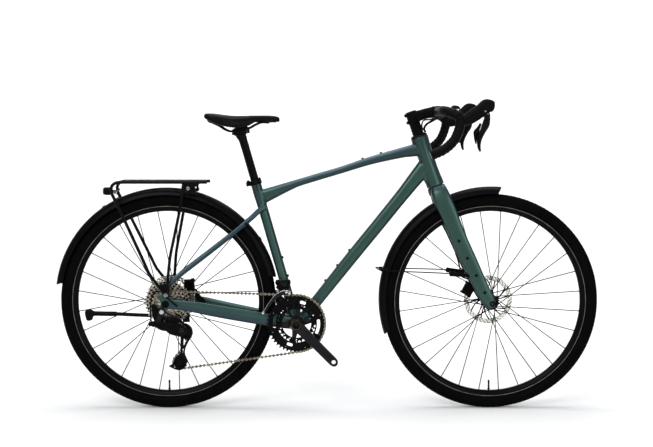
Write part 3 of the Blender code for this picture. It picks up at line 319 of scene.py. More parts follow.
def rounded(obj, width, segments=2, angle=35.0):
    bevel = obj.modifiers.new("edges", "BEVEL")
    bevel.width = width * MM
    bevel.segments = segments
    bevel.limit_method = "ANGLE"
    bevel.angle_limit = math.radians(angle)
    bevel.harden_normals = False
    made = baked(obj)
    made.data.shade_smooth()
    made.data.set_sharp_from_angle(angle=math.radians(50))
    return made


def catmull(p0, p1, p2, p3, t):
    return 0.5 * (2 * p1 + (p2 - p0) * t + (2 * p0 - 5 * p1 + 4 * p2 - p3) * t * t + (3 * p1 - p0 - 3 * p2 + p3) * t ** 3)


def smooth_path(points, per=6):
    pts = [Vector(p) for p in points]
    out = []
    for i in range(len(pts) - 1):
        p0, p3 = pts[max(i - 1, 0)], pts[min(i + 2, len(pts) - 1)]
        out += [catmull(p0, pts[i], pts[i + 1], p3, k / per) for k in range(per)]
    return out + [pts[-1]]


def smooth_stations(stations, per=5):
    rows = [tuple(s[0]) + (s[1], s[2]) for s in stations]
    out = []
    for i in range(len(rows) - 1):
        p0, p1, p2, p3 = rows[max(i - 1, 0)], rows[i], rows[i + 1], rows[min(i + 2, len(rows) - 1)]
        for k in range(per):
            v = [catmull(a, b, c, d, k / per) for a, b, c, d in zip(p0, p1, p2, p3)]
            out.append((tuple(v[:3]), v[3], v[4]))
    last = rows[-1]
    return out + [((last[0], last[1], last[2]), last[3], last[4])]


def loft_bm(bm, stations, sides=24, power=2.0, ends=True, twist=None):
    rings = []
    count = len(stations)
    for i, (centre, wide, tall) in enumerate(stations):
        before = Vector(stations[max(i - 1, 0)][0])
        after = Vector(stations[min(i + 1, count - 1)][0])
        along = (after - before).normalized()
        across = Vector((0, 1, 0)) - along * along.y
        if across.length < 0.3:
            across = Vector((1, 0, 0)) - along * along.x
        across.normalize()
        up = along.cross(across)
        ring = []
        for k in range(sides):
            t = 2 * math.pi * (k + 0.5) / sides
            c, s = math.cos(t), math.sin(t)
            c = math.copysign(abs(c) ** (2.0 / power), c)
            s = math.copysign(abs(s) ** (2.0 / power), s)
            ring.append(bm.verts.new((Vector(centre) + across * (wide * c) + up * (tall * s)) * MM))
        rings.append(ring)
    for low, high in zip(rings, rings[1:]):
        for k in range(sides):
            m = (k + 1) % sides
            bm.faces.new((low[k], low[m], high[m], high[k]))
    if ends:
        bm.faces.new(rings[0][::-1])
        bm.faces.new(rings[-1])
    return rings


def loft(name, stations, sides=24, power=2.0, per=5, sharp=40.0):
    bm = bmesh.new()
    loft_bm(bm, smooth_stations(stations, per) if per > 1 else stations, sides, power)
    return make(name, bm, sharp)


def rod_bm(bm, a, b, ra, rb=None, sides=24):
    a, b = Vector(a), Vector(b)
    axis = b - a
    turn = axis.to_track_quat("Z", "Y").to_matrix().to_4x4()
    bmesh.ops.create_cone(bm, cap_ends=True, segments=sides, radius1=ra * MM, radius2=(ra if rb is None else rb) * MM,
                          depth=axis.length * MM, matrix=Matrix.Translation((a + b) / 2 * MM) @ turn)


def box_bm(bm, low, high, turn=None):
    low, high = Vector(low), Vector(high)
    made = bmesh.ops.create_cube(bm, size=1.0)["verts"]
    bmesh.ops.transform(bm, matrix=Matrix.Translation((low + high) / 2 * MM) @ Matrix.Diagonal((*((high - low) * MM), 1.0)), verts=made)
    if turn:
        pivot, axis, degrees = turn
        pivot = Vector(pivot) * MM
        bmesh.ops.transform(bm, matrix=Matrix.Translation(pivot) @ Matrix.Rotation(math.radians(degrees), 4, axis) @ Matrix.Translation(-pivot), verts=made)
    return made


def revolve_bm(bm, profile, base, axis, steps=48, closed=False):
    """A profile of (radius, distance along axis from base), millimetres. Points on the axis become poles."""
    base, axis = Vector(base), Vector(axis).normalized()
    side = axis.orthogonal().normalized()
    other = axis.cross(side)
    rings = []
    for r, h in profile:
        if r < 1e-6:
            rings.append([bm.verts.new((base + axis * h) * MM)])
        else:
            rings.append([bm.verts.new((base + axis * h + (side * math.cos(2 * math.pi * k / steps) + other * math.sin(2 * math.pi * k / steps)) * r) * MM) for k in range(steps)])
    pairs = list(zip(rings, rings[1:])) + ([(rings[-1], rings[0])] if closed else [])
    for low, high in pairs:
        for k in range(steps):
            m = (k + 1) % steps
            if len(low) == 1 and len(high) == 1:
                continue
            if len(low) == 1:
                bm.faces.new((low[0], high[m], high[k]))
            elif len(high) == 1:
                bm.faces.new((low[k], low[m], high[0]))
            else:
                bm.faces.new((low[k], low[m], high[m], high[k]))
    if not closed:
        for ring in (rings[0], rings[-1]):
            if len(ring) > 1:
                bm.faces.new(ring)


def revolve(name, profile, base, axis, steps=48, closed=False, sharp=35.0):
    bm = bmesh.new()
    revolve_bm(bm, profile, base, axis, steps, closed)
    return make(name, bm, sharp)


def tube(name, points, radius, per=6, sides=12, cyclic=False, radii=None):
    """A round tube with capped ends along a smooth path."""
    path = smooth_path(points, per) if per > 1 else [Vector(p) for p in points]
    data = bpy.data.curves.new(name, "CURVE")
    data.dimensions = "3D"
    data.bevel_depth = radius * MM
    data.bevel_resolution = max(0, sides // 4 - 1)
    data.use_fill_caps = True
    spline = data.splines.new("POLY")
    spline.points.add(len(path) - 1)
    for i, (point, p) in enumerate(zip(spline.points, path)):
        point.co = (*(p * MM), 1.0)
        if radii:
            point.radius = radii(i / (len(path) - 1))
    spline.use_cyclic_u = cyclic
    obj = bpy.data.objects.new(name, data)
    bpy.context.scene.collection.objects.link(obj)
    obj = baked(obj)
    obj.data.shade_smooth()
    return obj


def plate(name, outline, y_low, y_high, holes=(), bevel=0.0):
    """A flat outline of (x, z) points with holes, between two y planes."""
    data = bpy.data.curves.new(name, "CURVE")
    data.dimensions = "2D"
    data.fill_mode = "BOTH"
    data.extrude = ((y_high - y_low) / 2 - bevel) * MM
    data.bevel_depth = bevel * MM
    data.bevel_resolution = 0
    data.offset = -bevel * MM
    for loop in (outline, *holes):
        spline = data.splines.new("POLY")
        spline.points.add(len(loop) - 1)
        for point, (x, z) in zip(spline.points, loop):
            point.co = (x * MM, z * MM, 0.0, 1.0)
        spline.use_cyclic_u = True
    obj = bpy.data.objects.new(name, data)
    bpy.context.scene.collection.objects.link(obj)
    obj.rotation_euler = (math.radians(90), 0.0, 0.0)
    obj.location = (0.0, (y_low + y_high) / 2 * MM, 0.0)
    obj = baked(obj)
    bm = bmesh.new()
    bm.from_mesh(obj.data)
    bmesh.ops.remove_doubles(bm, verts=bm.verts[:], dist=0.000002)
    bmesh.ops.recalc_face_normals(bm, faces=bm.faces[:])
    bm.to_mesh(obj.data)
    bm.free()
    obj.data.shade_smooth()
    obj.data.set_sharp_from_angle(angle=math.radians(35))
    return obj


def circle(centre, radius, count=32, start=0.0):
    return [(centre[0] + radius * math.cos(start + 2 * math.pi * k / count), centre[1] + radius * math.sin(start + 2 * math.pi * k / count)) for k in range(count)]


def merge(name, *objs):
    """Several pieces as one object."""
    bm = bmesh.new()
    for o in objs:
        bm.from_mesh(o.data)
    mesh = bpy.data.meshes.new(name)
    bm.to_mesh(mesh)
    bm.free()
    mesh.shade_smooth()
    mesh.set_sharp_from_angle(angle=math.radians(38))
    for o in objs:
        bpy.data.objects.remove(o, do_unlink=True)
    obj = bpy.data.objects.new(name, mesh)
    bpy.context.scene.collection.objects.link(obj)
    return obj


def fused(name, objs, voxel=2.0, rounds=6, keep_share=0.4):
    """Overlapping closed pieces grown into one smooth body, as a weld or a mould leaves them."""
    obj = merge(name, *objs)
    remesh = obj.modifiers.new("skin", "REMESH")
    remesh.mode = "VOXEL"
    remesh.voxel_size = voxel * MM
    obj = baked(obj)
    bm = bmesh.new()
    bm.from_mesh(obj.data)
    for _ in range(rounds):
        bmesh.ops.smooth_vert(bm, verts=bm.verts[:], factor=0.5, use_axis_x=True, use_axis_y=True, use_axis_z=True)
    bm.to_mesh(obj.data)
    bm.free()
    if keep_share < 1.0:
        less = obj.modifiers.new("less", "DECIMATE")
        less.ratio = keep_share
        obj = baked(obj)
    obj.data.shade_smooth()
    return obj


def bolt(name, where, out, r=4.2, tall=3.2, body="frame", look=None, flange=0.0):
    """A socket-head screw with a rounded rim and a hexagonal recess; out points away from the part."""
    where, out = Vector(where), Vector(out).normalized()
    bm = bmesh.new()
    side = out.orthogonal().normalized()
    other = out.cross(side)
    steps = 24
    def ring(radius, h, hexagon=False):
        pts = []
        for k in range(steps):
            a = 2 * math.pi * k / steps
            q = radius
            if hexagon:
                q = radius * math.cos(math.pi / 6) / math.cos((a % (math.pi / 3)) - math.pi / 6)
            pts.append(bm.verts.new((where + out * h + (side * math.cos(a) + other * math.sin(a)) * q) * MM))
        return pts
    rows = []
    if flange:
        rows += [ring(flange, -0.4), ring(flange, 0.6), ring(r, 0.9)]
    else:
        rows += [ring(r, -0.4)]
    rows += [ring(r, tall * 0.8), ring(r * 0.95, tall * 0.95), ring(r * 0.86, tall), ring(r * 0.60, tall, True), ring(r * 0.56, tall * 0.35, True)]
    for low, high in zip(rows, rows[1:]):
        for k in range(steps):
            m = (k + 1) % steps
            bm.faces.new((low[k], low[m], high[m], high[k]))
    bm.faces.new(rows[0])
    bm.faces.new(rows[-1])
    obj = make(name, bm, 40.0)
    return keep(obj, body, look or BLACK_SCREW)


# ------------------------------------------------------ camera, floor, lights
def studio():
    scene = bpy.context.scene
    cam = bpy.data.cameras.new("view")
    cam.lens = 64.43
    cam.sensor_width = 36.0
    cam.sensor_fit = "HORIZONTAL"
    cam.clip_end = 60.0
    holder = bpy.data.objects.new("view", cam)
    holder.location = (-0.0015, -3.8, 0.8869)
    holder.rotation_euler = (math.radians(85.78), 0.0, 0.0)
    scene.collection.objects.link(holder)
    scene.camera = holder
    scene.view_settings.view_transform = "Standard"

    # A floor that turns up into a wall behind the object, and runs out of view on every side.
    bm = bmesh.new()
    rows = []
    profile = [(-9.0, 0.0), (3.2, 0.0)] + [(3.2 + 1.8 * math.sin(a), 1.8 - 1.8 * math.cos(a)) for a in (math.radians(9 * k) for k in range(1, 11))] + [(5.0, 7.0)]
    for y, z in profile:
        rows.append([bm.verts.new((x, y, z)) for x in (-9.0, 9.0)])
    for low, high in zip(rows, rows[1:]):
        bm.faces.new((low[0], low[1], high[1], high[0]))
    floor = make("studio_floor", bm, 80)
    pale = Mat("pale_floor")
    pale.set(Base_Color=pale.mix(pale.span(pale.noise(3.0, 4.0), 0.3, 0.7, 0.0, 1.0), (0.86, 0.86, 0.86), (0.88, 0.88, 0.88)), Roughness=0.9, Specular_IOR_Level=0.1)
    floor.data.materials.append(pale.m)

    world = bpy.data.worlds.new("soft_studio")
    world.use_nodes = True
    world.node_tree.nodes["Background"].inputs["Color"].default_value = (0.96, 0.98, 1.0, 1.0)
    world.node_tree.nodes["Background"].inputs["Strength"].default_value = 0.42
    scene.world = world

    def area(name, where, target, size, power, colour=(1, 1, 1)):
        data = bpy.data.lights.new(name, "AREA")
        data.shape = "RECTANGLE"
        data.size, data.size_y = size
        data.energy = power
        data.color = colour
        light = bpy.data.objects.new(name, data)
        light.location = where
        light.rotation_euler = (Vector(target) - Vector(where)).to_track_quat("-Z", "Y").to_euler()
        scene.collection.objects.link(light)

    area("key", (-1.6, -3.6, 3.2), (0.0, 0.0, 0.5), (3.0, 1.6), 105.0)
    area("fill", (2.6, -3.4, 1.6), (0.2, 0.0, 0.5), (2.0, 2.0), 42.0, (0.96, 0.98, 1.0))
    area("top", (0.0, 0.3, 3.6), (0.0, 0.0, 0.3), (3.4, 1.8), 85.0)
    area("back", (0.0, 1.6, 3.0), (0.0, 4.8, 1.5), (5.0, 1.2), 120.0)


studio()


# ----------------------------------------------------------------- main frame
def top_station(x, top, bottom, wide):
    return ((x, 0.0, (top + bottom) / 2), wide, (top - bottom) / 2)


def frame_skin():
    parts = []
    rings = [(0.3, 29.0), (4, 29.2), (18, 28.6), (45, 26.6), (84, 26.0), (125, 26.6), (152, 28.0), (164, 28.8), (168, 28.2)]
    parts.append(loft("p", [((head(s)[0], 0, head(s)[2]), r, r) for s, r in rings], 40, per=3))
    parts.append(loft("p", [
        top_station(-204, 719, 673, 14.5), top_station(-176, 727, 687, 15), top_station(-152.7, 734, 699, 16), top_station(-120, 743.6, 715, 17),
        top_station(-87.7, 753.2, 728.8, 18), top_station(-20, 773.5, 749.5, 18.5), top_station(42.4, 791.5, 768.2, 19), top_station(139.7, 824, 797.4, 19.5),
        top_station(237, 852.5, 818.8, 21), top_station(268, 861, 822.5, 21), top_station(296, 868.5, 826, 20)], 36, 2.9))
    parts.append(loft("p", [
        ((-84.0, 0, 288.0), 21, 18.5), ((-60, 0, 318.0), 21, 18.8), ((-22.8, 0, 365.4), 21, 19), ((75.3, 0, 489.5), 21, 20.5), ((172.9, 0, 610.1), 21, 21),
        ((237.7, 0, 690.7), 21.5, 21.5), ((285, 0, 750.5), 21.5, 24), ((318.0, 0, 790.9), 21, 27)], 36, 3.1))
    parts.append(loft("p", [((314, 0, 752), 17, 15), ((330, 0, 758), 20, 26), ((340, 0, 772), 22, 30)], 28, 2.6))
    low, high = seat_line(BB[1] + 5), seat_line(744.5)
    parts.append(loft("p", [(low, 17, 19), (seat_line(340), 16.5, 17), (seat_line(400), 16.0, 16.0), (seat_line(640), 16.0, 16.0), (seat_line(700), 16.6, 17.2), (high, 16.8, 16.8)], 36, 2.1))
    # A tapered fin behind the seat tube where the two seatstays start.
    parts.append(loft("p", [((-206, 0, 664), 12, 15), ((-214, 0, 656), 15, 12)], 24, 2.4))
    bm = bmesh.new()
    revolve_bm(bm, [(BB_IN, -34.0), (BB_IN, 34.0), (22.6, 34.0), (23.0, 33.6), (23.0, 20), (24.2, 12), (24.2, -12), (23.0, -20), (23.0, -33.6), (22.6, -34.0)], (BB[0], 0, BB[1]), (0, 1, 0), 56, closed=True)
    parts.append(make("p", bm))
    for s in (-1, 1):
        parts.append(loft("p", [
            ((-106, s * 20, 281), 8, 17.5), ((-122, s * 27, 283), 7.4, 19), ((-150, s * 29.0, 287.5), 6.9, 20), ((-190, s * 33.5, 295), 6.6, 20.5), ((-249.6, s * 42, 305.9), 7.2, 20.5),
            ((-313.6, s * 52, 318.2), 7.5, 20), ((-377.4, s * 62, 331.3), 6.8, 19.5), ((-409.2, s * 68.2, 338.5), 5.8, 18.5), ((-440, s * 73.0, 344), 4.9, 17.2),
            ((-475, s * 75.2, 349.5), 4.3, 16), ((-500, s * 75.2, 351.5), 4.2, 15.5), ((-522, s * 75.2, 352.3), 4.1, 15)], 32, 2.8))
        outline = [(-490, 364), (-500, 371), (-507, 378), (-509, 388), (-510, 400), (-520.5, 400), (-524, 389), (-530, 384), (-540, 382), (-545.5, 378), (-545, 372), (-538, 366), (-534, 358)]
        if s < 0:
            outline += [(-535.5, 348), (-538.5, 339), (-541, 330), (-539.5, 322.5), (-534, 317.5), (-526, 317.2), (-520, 321.0), (-517.5, 330), (-512, 337)]
        else:
            outline += [(-535, 348), (-530, 339), (-520, 335), (-508, 336.5)]
        outline += [(-495, 342)]
        parts.append(plate("p", outline, *sorted((s * 71.2, s * 79.2)), bevel=0.9))
        parts.append(loft("p", [
            ((-200, s * 10, 663), 6.5, 9.5), ((-222, s * 21, 647.5), 6.4, 9), ((-245, s * 32, 626), 6.2, 8.6), ((-270, s * 36.5, 605), 6, 8.5), ((-320, s * 40, 563.5), 6, 8.5),
            ((-377.8, s * 46, 518.4), 6.2, 8.5), ((-430, s * 56, 478.5), 6, 8.5), ((-472.9, s * 66.5, 445.7), 5.5, 8.4), ((-496, s * 72.5, 426), 4.9, 7.8),
            ((-510, s * 74.6, 415), 4.4, 6.6), ((-520, s * 75.2, 402), 4.2, 5.6), ((-523, s * 75.2, 386), 4.2, 5.2)], 24, 2.3))
    skin = fused("frame_skin", parts, voxel=1.7, rounds=5, keep_share=0.45)
    keep(skin, "frame", PAINT, ("head_tube", "top_tube", "down_tube", "seat_tube", "bottom_bracket_shell", "chainstay_right", "chainstay_left", "seatstay_right", "seatstay_left"))


BB_IN = 19.5
frame_skin()


def fork_skin():
    parts = []
    a, b = head(-26), head(-0.9)
    parts.append(loft("p", [(head(-30), 26, 26), (head(-22), 29.5, 30), (head(-12), 30.2, 30.2), (head(-4), 29.4, 29.4), (head(-1.2), 28.6, 28.6)], 40, per=3))
    for s in (-1, 1):
        parts.append(loft("p", [
            ((361, s * 17, 722), 18, 25), ((365.5, s * 26, 706), 19, 28), ((371, s * 34.5, 690), 14, 29.3), ((380, s * 39.6, 668), 11.8, 29), ((393, s * 42, 640), 11.0, 28),
            ((421, s * 46, 572), 10.8, 26), ((464.8, s * 53, 476), 10.6, 25), ((490.5, s * 58, 420), 10.3, 23.5), ((509, s * 60.6, 382), 10.1, 22.5),
            ((520.5, s * 61, 362), 10.2, 21), ((528.5, s * 61, 346), 10.2, 16), ((532, s * 61, 337), 9.0, 9)], 32, 3.0))
    skin = fused("fork_skin", parts, voxel=1.7, rounds=5, keep_share=0.5)
    room = bmesh.new()
    rod_bm(room, (536, -28.6, 360), (536, 28.6, 360), 371.8, sides=180)
    room = make("fender_room", room)
    cut = skin.modifiers.new("room", "BOOLEAN")
    cut.operation = "DIFFERENCE"
    cut.object = room
    skin = baked(skin)
    bpy.data.objects.remove(room, do_unlink=True)
    skin.data.shade_smooth()
    skin.data.set_sharp_from_angle(angle=math.radians(50))
    keep(skin, "steering", PAINT, ("fork",))


fork_skin()


# --------------------------------------------------------------------- wheels
def ring_y(hub, profile, steps, closed=True, name="ring", sharp=35.0):
    """A profile of (radius, y) turned round a hub's Y line."""
    return revolve(name, profile, (hub[0], 0, hub[1]), (0, 1, 0), steps, closed, sharp)


def tyre_piece(tag, hub, body):
    """Casing, and a tread of small blocks: a fine file of ramps in the middle, blocks towards the shoulders."""
    mid, half = TYRE_R - 21.0, 21.0
    core = 20.0
    first = math.radians(-50)
    outer = [(RIM_OUT + 0.5, 13.4)]
    for k in range(21):
        t = first + (math.pi - 2 * first) * k / 20
        outer.append((mid + core * math.sin(t), core * math.cos(t)))
    outer.append((RIM_OUT + 0.5, -13.4))
    inner = [(RIM_OUT + 0.5, -10.5), (mid, -17.0), (mid + 12, -12), (mid + 17, 0), (mid + 12, 12), (mid, 17.0), (RIM_OUT + 0.5, 10.5)]
    casing = ring_y(hub, outer + inner, 160, name=f"{tag}_tyre_casing", sharp=60)
    bm = bmesh.new()
    bm.from_mesh(casing.data)
    # Two moulded lines on each side wall.
    bpy.data.objects.remove(casing, do_unlink=True)
    for s in (-1, 1):
        for radius, y in ((mid - 4.0, 20.0), (mid + 7.5, 18.9)):
            revolve_bm(bm, [(radius - 0.6, s * (y - 1.2)), (radius - 0.5, s * (y + 0.45)), (radius + 0.5, s * (y + 0.45)), (radius + 0.6, s * (y - 1.2))], (hub[0], 0, hub[1]), (0, 1, 0), 160, closed=True)

    def block(angle, tilt, span, width, lean, low=0.0, high=1.0, y_shift=0.0):
        """A tread block at an angle round the wheel and a tilt over the crown, both in degrees."""
        a, t = math.radians(angle), math.radians(90 - tilt)
        verts = []
        for up in (-0.8, high):
            for du, dv in ((-1, -1), (1, -1), (1, 1), (-1, 1)):
                k = 0.86 if up > 0 else 1.0
                da = math.radians(span) * (du * k + lean * dv) / 2
                dt = math.radians(width) * dv * k / 2
                r = core + up
                rad, y = mid + r * math.sin(t + dt), r * math.cos(t + dt)
                verts.append(bm.verts.new((hub[0] * MM + rad * MM * math.cos(a + da), y * MM, hub[1] * MM + rad * MM * math.sin(a + da))))
        for face in ((3, 2, 1, 0), (4, 5, 6, 7), (0, 1, 5, 4), (1, 2, 6, 5), (2, 3, 7, 6), (3, 0, 4, 7)):
            bm.faces.new([verts[i] for i in face])

    count = 150
    for i in range(count):
        a = 360.0 * i / count
        block(a, 0, 1.5, 17, 0.0, high=0.95)
        for s in (-1, 1):
            block(a + 1.2, s * 22, 1.55, 16, s * 0.35, high=0.98)
            block(a, s * 43, 1.7, 15, s * 0.25, high=0.98)
            if i % 2 == 0:
                block(a + 1.2, s * 62, 2.9, 12, 0.0, high=0.9)
            block(a + 0.6, s * 74.5, 0.9, 7, 0.0, high=0.55)
    obj = make(f"{tag}_tyre_tread", bm, 30)
    return keep(obj, body, TYRE, (f"{tag}_tyre",))


def rim_piece(tag, hub, body):
    """A box-section rim: a bright ring on each edge as a painted highlight along the bead hook, satin sides, a shallow
    channel inside, nipples and the valve.
    """
    section = [(296.2, -6.5), (295.2, -4.5), (295.0, 0.0), (295.2, 4.5), (296.2, 6.5), (299.0, 8.6), (304.5, 11.9), (309.6, 13.4), (310.9, 13.8), (311.4, 13.4), (311.2, 12.2), (306.5, 10.8),
               (305.8, 6.0), (304.0, 3.0), (304.0, -3.0), (305.8, -6.0), (306.5, -10.8), (311.2, -12.2), (311.4, -13.4), (310.9, -13.8), (309.6, -13.4), (304.5, -11.9), (299.0, -8.6)]
    obj = ring_y(hub, section, 200, name=f"{tag}_rim_hoop")
    keep(obj, body, BLACK_RIM, (f"{tag}_rim",))
    # A bright tan ring on each rim edge: a painted highlight along the bead hooks.
    lip = []
    for s in (-1, 1):
        lip.append(ring_y(hub, [(310.3, s * 13.5), (310.5, s * 14.25), (312.4, s * 14.35), (312.6, s * 13.5)], 200, name="lip"))
    keep(merge(f"{tag}_rim_lip", *lip), body, RIM_EDGE_GLINT)
    bm = bmesh.new()
    for i in range(28):
        a = 360.0 * (i + 0.5) / 28
        s = -1 if i % 2 == 0 else 1
        b = at(hub, 295.6, a)
        lead = (i // 2) % 2 == 0
        inward = spoke_ends(hub, i, tag)
        direction = (Vector(inward[0]) - Vector(inward[1])).normalized()
        start = Vector((b[0], s * 3.0, b[1]))
        rod_bm(bm, start, start + direction * 9.5, 1.75, 1.45, 10)
        rod_bm(bm, start - direction * 0.3, start + direction * 1.4, 2.6, 2.2, 10)
    keep(make(f"{tag}_nipples", bm, 40), body, BLACK_SCREW)
    x, z = hub[0], hub[1] - 295.0
    valve = revolve(f"{tag}_valve", [(0, 0), (3.1, 0.0), (3.1, 2.0), (4.6, 2.2), (4.6, 4.6), (3.9, 5.0), (3.0, 5.4), (3.0, 16.5), (2.75, 17.0), (2.75, 24.0), (3.2, 24.4), (3.2, 30.5), (2.3, 31.2), (2.0, 33.0), (0, 33.0)],
                    (x, 0, z + 0.5), (0, 0, 1), 20)
    keep(valve, body, BLACK_SCREW)


def spoke_ends(hub, i, tag):
    right, lead = i % 2 == 0, (i // 2) % 2 == 0
    rim_angle = 360.0 * (i + 0.5) / 28
    hub_angle = rim_angle + (62 if lead else -62)
    if tag == "rear":
        flange, r_hub = (-20.0 if right else 33.0), 25.5
    else:
        flange, r_hub = (-33.0 if right else 23.0), 20.5
    y_hub = flange + (1.9 if lead else -1.9)
    a, b = at(hub, r_hub, hub_angle), at(hub, 294.0, rim_angle)
    return (a[0], y_hub, a[1]), (b[0], -3.0 if right else 3.0, b[1])


def spokes_piece(tag, hub, body):
    """Round wire spokes: bent head at the hub flange, butted in the middle."""
    bm = bmesh.new()
    for i in range(28):
        a, b = (Vector(p) for p in spoke_ends(hub, i, tag))
        lead = (i // 2) % 2 == 0
        d = (b - a).normalized()
        rod_bm(bm, a, a + d * 22, 1.65, 1.55, 8)
        rod_bm(bm, a + d * 21, b, 1.5, 1.5, 8)
        side = 1 if lead else -1
        rod_bm(bm, a + Vector((0, side * 0.9, 0)), a - Vector((0, side * 4.6, 0)), 1.1, 1.1, 8)
        rod_bm(bm, a - Vector((0, side * 4.0, 0)), a - Vector((0, side * 5.2, 0)), 2.1, 1.6, 8)
    keep(make(f"{tag}_spokes", bm, 40), body, SPOKE)


def hub_piece(tag, hub, body):
    if tag == "rear":
        shape = [(6.3, -70.6), (8.4, -70.6), (9.4, -69.8), (9.4, -67.5), (13.0, -67.3), (16.2, -66.4), (16.2, -24.0), (21.0, -23.4), (29.2, -22.6), (30.0, -22.0), (30.0, -18.0), (29.2, -17.4), (21.0, -15.8),
                 (14.6, -11.0), (13.2, -4.0), (13.0, 8.0), (13.3, 18.0), (15.0, 25.5), (21.0, 29.4), (28.4, 30.8), (29.0, 31.4), (29.0, 34.8), (28.4, 35.4), (21.0, 37.0), (17.6, 41.0), (16.4, 44.0), (16.4, 61.0),
                 (15.0, 62.2), (10.0, 63.4), (9.4, 66.0), (9.4, 69.8), (8.4, 70.6), (6.3, 70.6)]
    else:
        shape = [(6.3, -49.6), (8.4, -49.6), (9.4, -48.8), (9.4, -43.0), (12.0, -41.4), (15.0, -38.6), (18.5, -36.4), (24.2, -35.6), (25.0, -34.8), (25.0, -31.2), (24.2, -30.4), (18.5, -29.2), (14.0, -26.0), (12.2, -20.0),
                 (11.9, -4.0), (12.2, 9.0), (14.0, 16.4), (18.5, 19.4), (24.2, 20.4), (25.0, 21.2), (25.0, 24.8), (24.2, 25.6), (18.5, 27.0), (16.6, 30.0), (16.4, 34.0), (16.4, 41.6), (15.0, 42.6), (10.0, 43.6), (9.4, 46.0),
                 (9.4, 48.8), (8.4, 49.6), (6.3, 49.6)]
    obj = ring_y(hub, shape, 56, name=f"{tag}_hub_shell")
    keep(obj, body, BLACK_SMOOTH, (f"{tag}_hub_and_spokes",))


def rotor_piece(tag, hub, y, body):
    """A wavy vented ring on a black carrier with swept arms, lockring in the middle."""
    t = 0.9
    def wavy(radius, amount, waves, count=120, phase=0.0):
        return [(hub[0] + (radius + amount * math.cos(waves * 2 * math.pi * k / count + phase)) * math.cos(2 * math.pi * k / count),
                 hub[1] + (radius + amount * math.cos(waves * 2 * math.pi * k / count + phase)) * math.sin(2 * math.pi * k / count)) for k in range(count)]
    holes = [wavy(64.3, 0.9, 12)]
    for k in range(36):
        a = 10.0 * k
        for j, (r, size) in enumerate(((68.2, 1.9), (72.2, 2.3), (76.0, 1.9))):
            c = at(hub, r, a + (0, 3.6, 7.2)[j])
            holes.append(circle(c, size, 8))
    ring = plate("ring", wavy(79.3, 0.65, 12), y - t, y + t, holes)
    keep(ring, body, ROTOR[tag], (f"{tag}_brake_rotor",))
    ring.name = f"{tag}_rotor_track"
    bm = bmesh.new()
    for k in range(6):
        for lean, start in ((34, 0), (10, 0)):
            a0, a1 = math.radians(60 * k + start), math.radians(60 * k + start + lean)
            path = []
            for f in range(7):
                r = 23.0 + (66.0 - 23.0) * f / 6
                a = a0 + (a1 - a0) * (f / 6) ** 0.8
                path.append(((hub[0] + r * math.cos(a), y, hub[1] + r * math.sin(a)), 1.1, 2.9 - 0.9 * math.sin(math.pi * f / 6)))
            loft_bm(bm, path, 8, 4.0)
    keep(make(f"{tag}_rotor_arms", bm, 30), body, BLACK_SMOOTH)
    rivets = bmesh.new()
    for k in range(6):
        for lean in (10, 34):
            x, z = at(hub, 65.6, 60 * k + lean)
            revolve_bm(rivets, [(0, -1.7), (2.2, -1.7), (2.7, -1.2), (2.7, 1.2), (2.2, 1.7), (0, 1.7)], (x, y, z), (0, 1, 0), 12)
    keep(make(f"{tag}_rotor_rivets", rivets, 40), body, SCREW)
    teeth = bmesh.new()
    revolve_bm(teeth, [(16.7, y - 3.4), (16.7, y + 3.4), (23.6, y + 3.2), (26.2, y + 1.4), (26.2, y - 1.4), (23.6, y - 3.2)], (hub[0], 0, hub[1]), (0, 1, 0), 48, closed=True)
    for k in range(16):
        x, z = at(hub, 21.4, 22.5 * k)
        box_bm(teeth, (x - 1.3, y + 2.6, z - 1.9), (x + 1.3, y + 4.6, z + 1.9), ((x, y, z), "Y", 90 - 22.5 * k))
    keep(make(f"{tag}_rotor_carrier", teeth, 35), body, BLACK_SMOOTH)


BLACK_RIM = plain("rim_satin", srgb(3, 3, 3), srgb(6, 6, 7), 0.36, 0.3, grain=1400.0, bump=0.03, spec=0.08)
# The rim edge rings' bright tan colour is a painted highlight.
RIM_EDGE_GLINT = plain("rim_lip", srgb(78, 72, 66), srgb(116, 108, 99), 0.38, 0.7, grain=900.0, bump=0.05, patch=40.0)
ROTOR = {tag: brushed(f"{tag}_rotor_steel", srgb(128, 124, 115), srgb(206, 202, 192), 0.26, (hub[0] * MM, 0.0, hub[1] * MM)) for tag, hub in (("rear", REAR_HUB), ("front", FRONT_HUB))}
for tag, hub in (("rear", REAR_HUB), ("front", FRONT_HUB)):
    wheel = f"{tag}_wheel"
    tyre_piece(tag, hub, wheel)
    rim_piece(tag, hub, wheel)
    spokes_piece(tag, hub, wheel)
    hub_piece(tag, hub, wheel)
    rotor_piece(tag, hub, 55.5 if tag == "rear" else 37.5, wheel)


# ----------------------------------------------------------------- drivetrain
def chain_route():
    """The chain's centre line round ring, cog, guide and tension pulley."""
    wheels = [(BB, pitch_radius(46)), (REAR_HUB, pitch_radius(19)), (GUIDE, -pitch_radius(11)), (TENSION, pitch_radius(11))]
    leave, arrive = [], []
    for i, (c1, s1) in enumerate(wheels):
        c2, s2 = wheels[(i + 1) % 4]
        d = Vector((c2[0] - c1[0], c2[1] - c1[1]))
        psi = math.atan2(d.y, d.x) + math.acos((s2 - s1) / d.length)
        leave.append(math.atan2(-math.sin(psi) * s1, -math.cos(psi) * s1))
        arrive.append(math.atan2(-math.sin(psi) * s2, -math.cos(psi) * s2))
    out = []
    for i, (centre, signed) in enumerate(wheels):
        a0, a1 = arrive[i - 1], leave[i]
        sweep = (a1 - a0) % (2 * math.pi) if signed > 0 else -((a0 - a1) % (2 * math.pi))
        count = max(4, int(abs(sweep) / math.radians(2)))
        for k in range(count + 1):
            a = a0 + sweep * k / count
            out.append((centre[0] + abs(signed) * math.cos(a), centre[1] + abs(signed) * math.sin(a)))
    return out


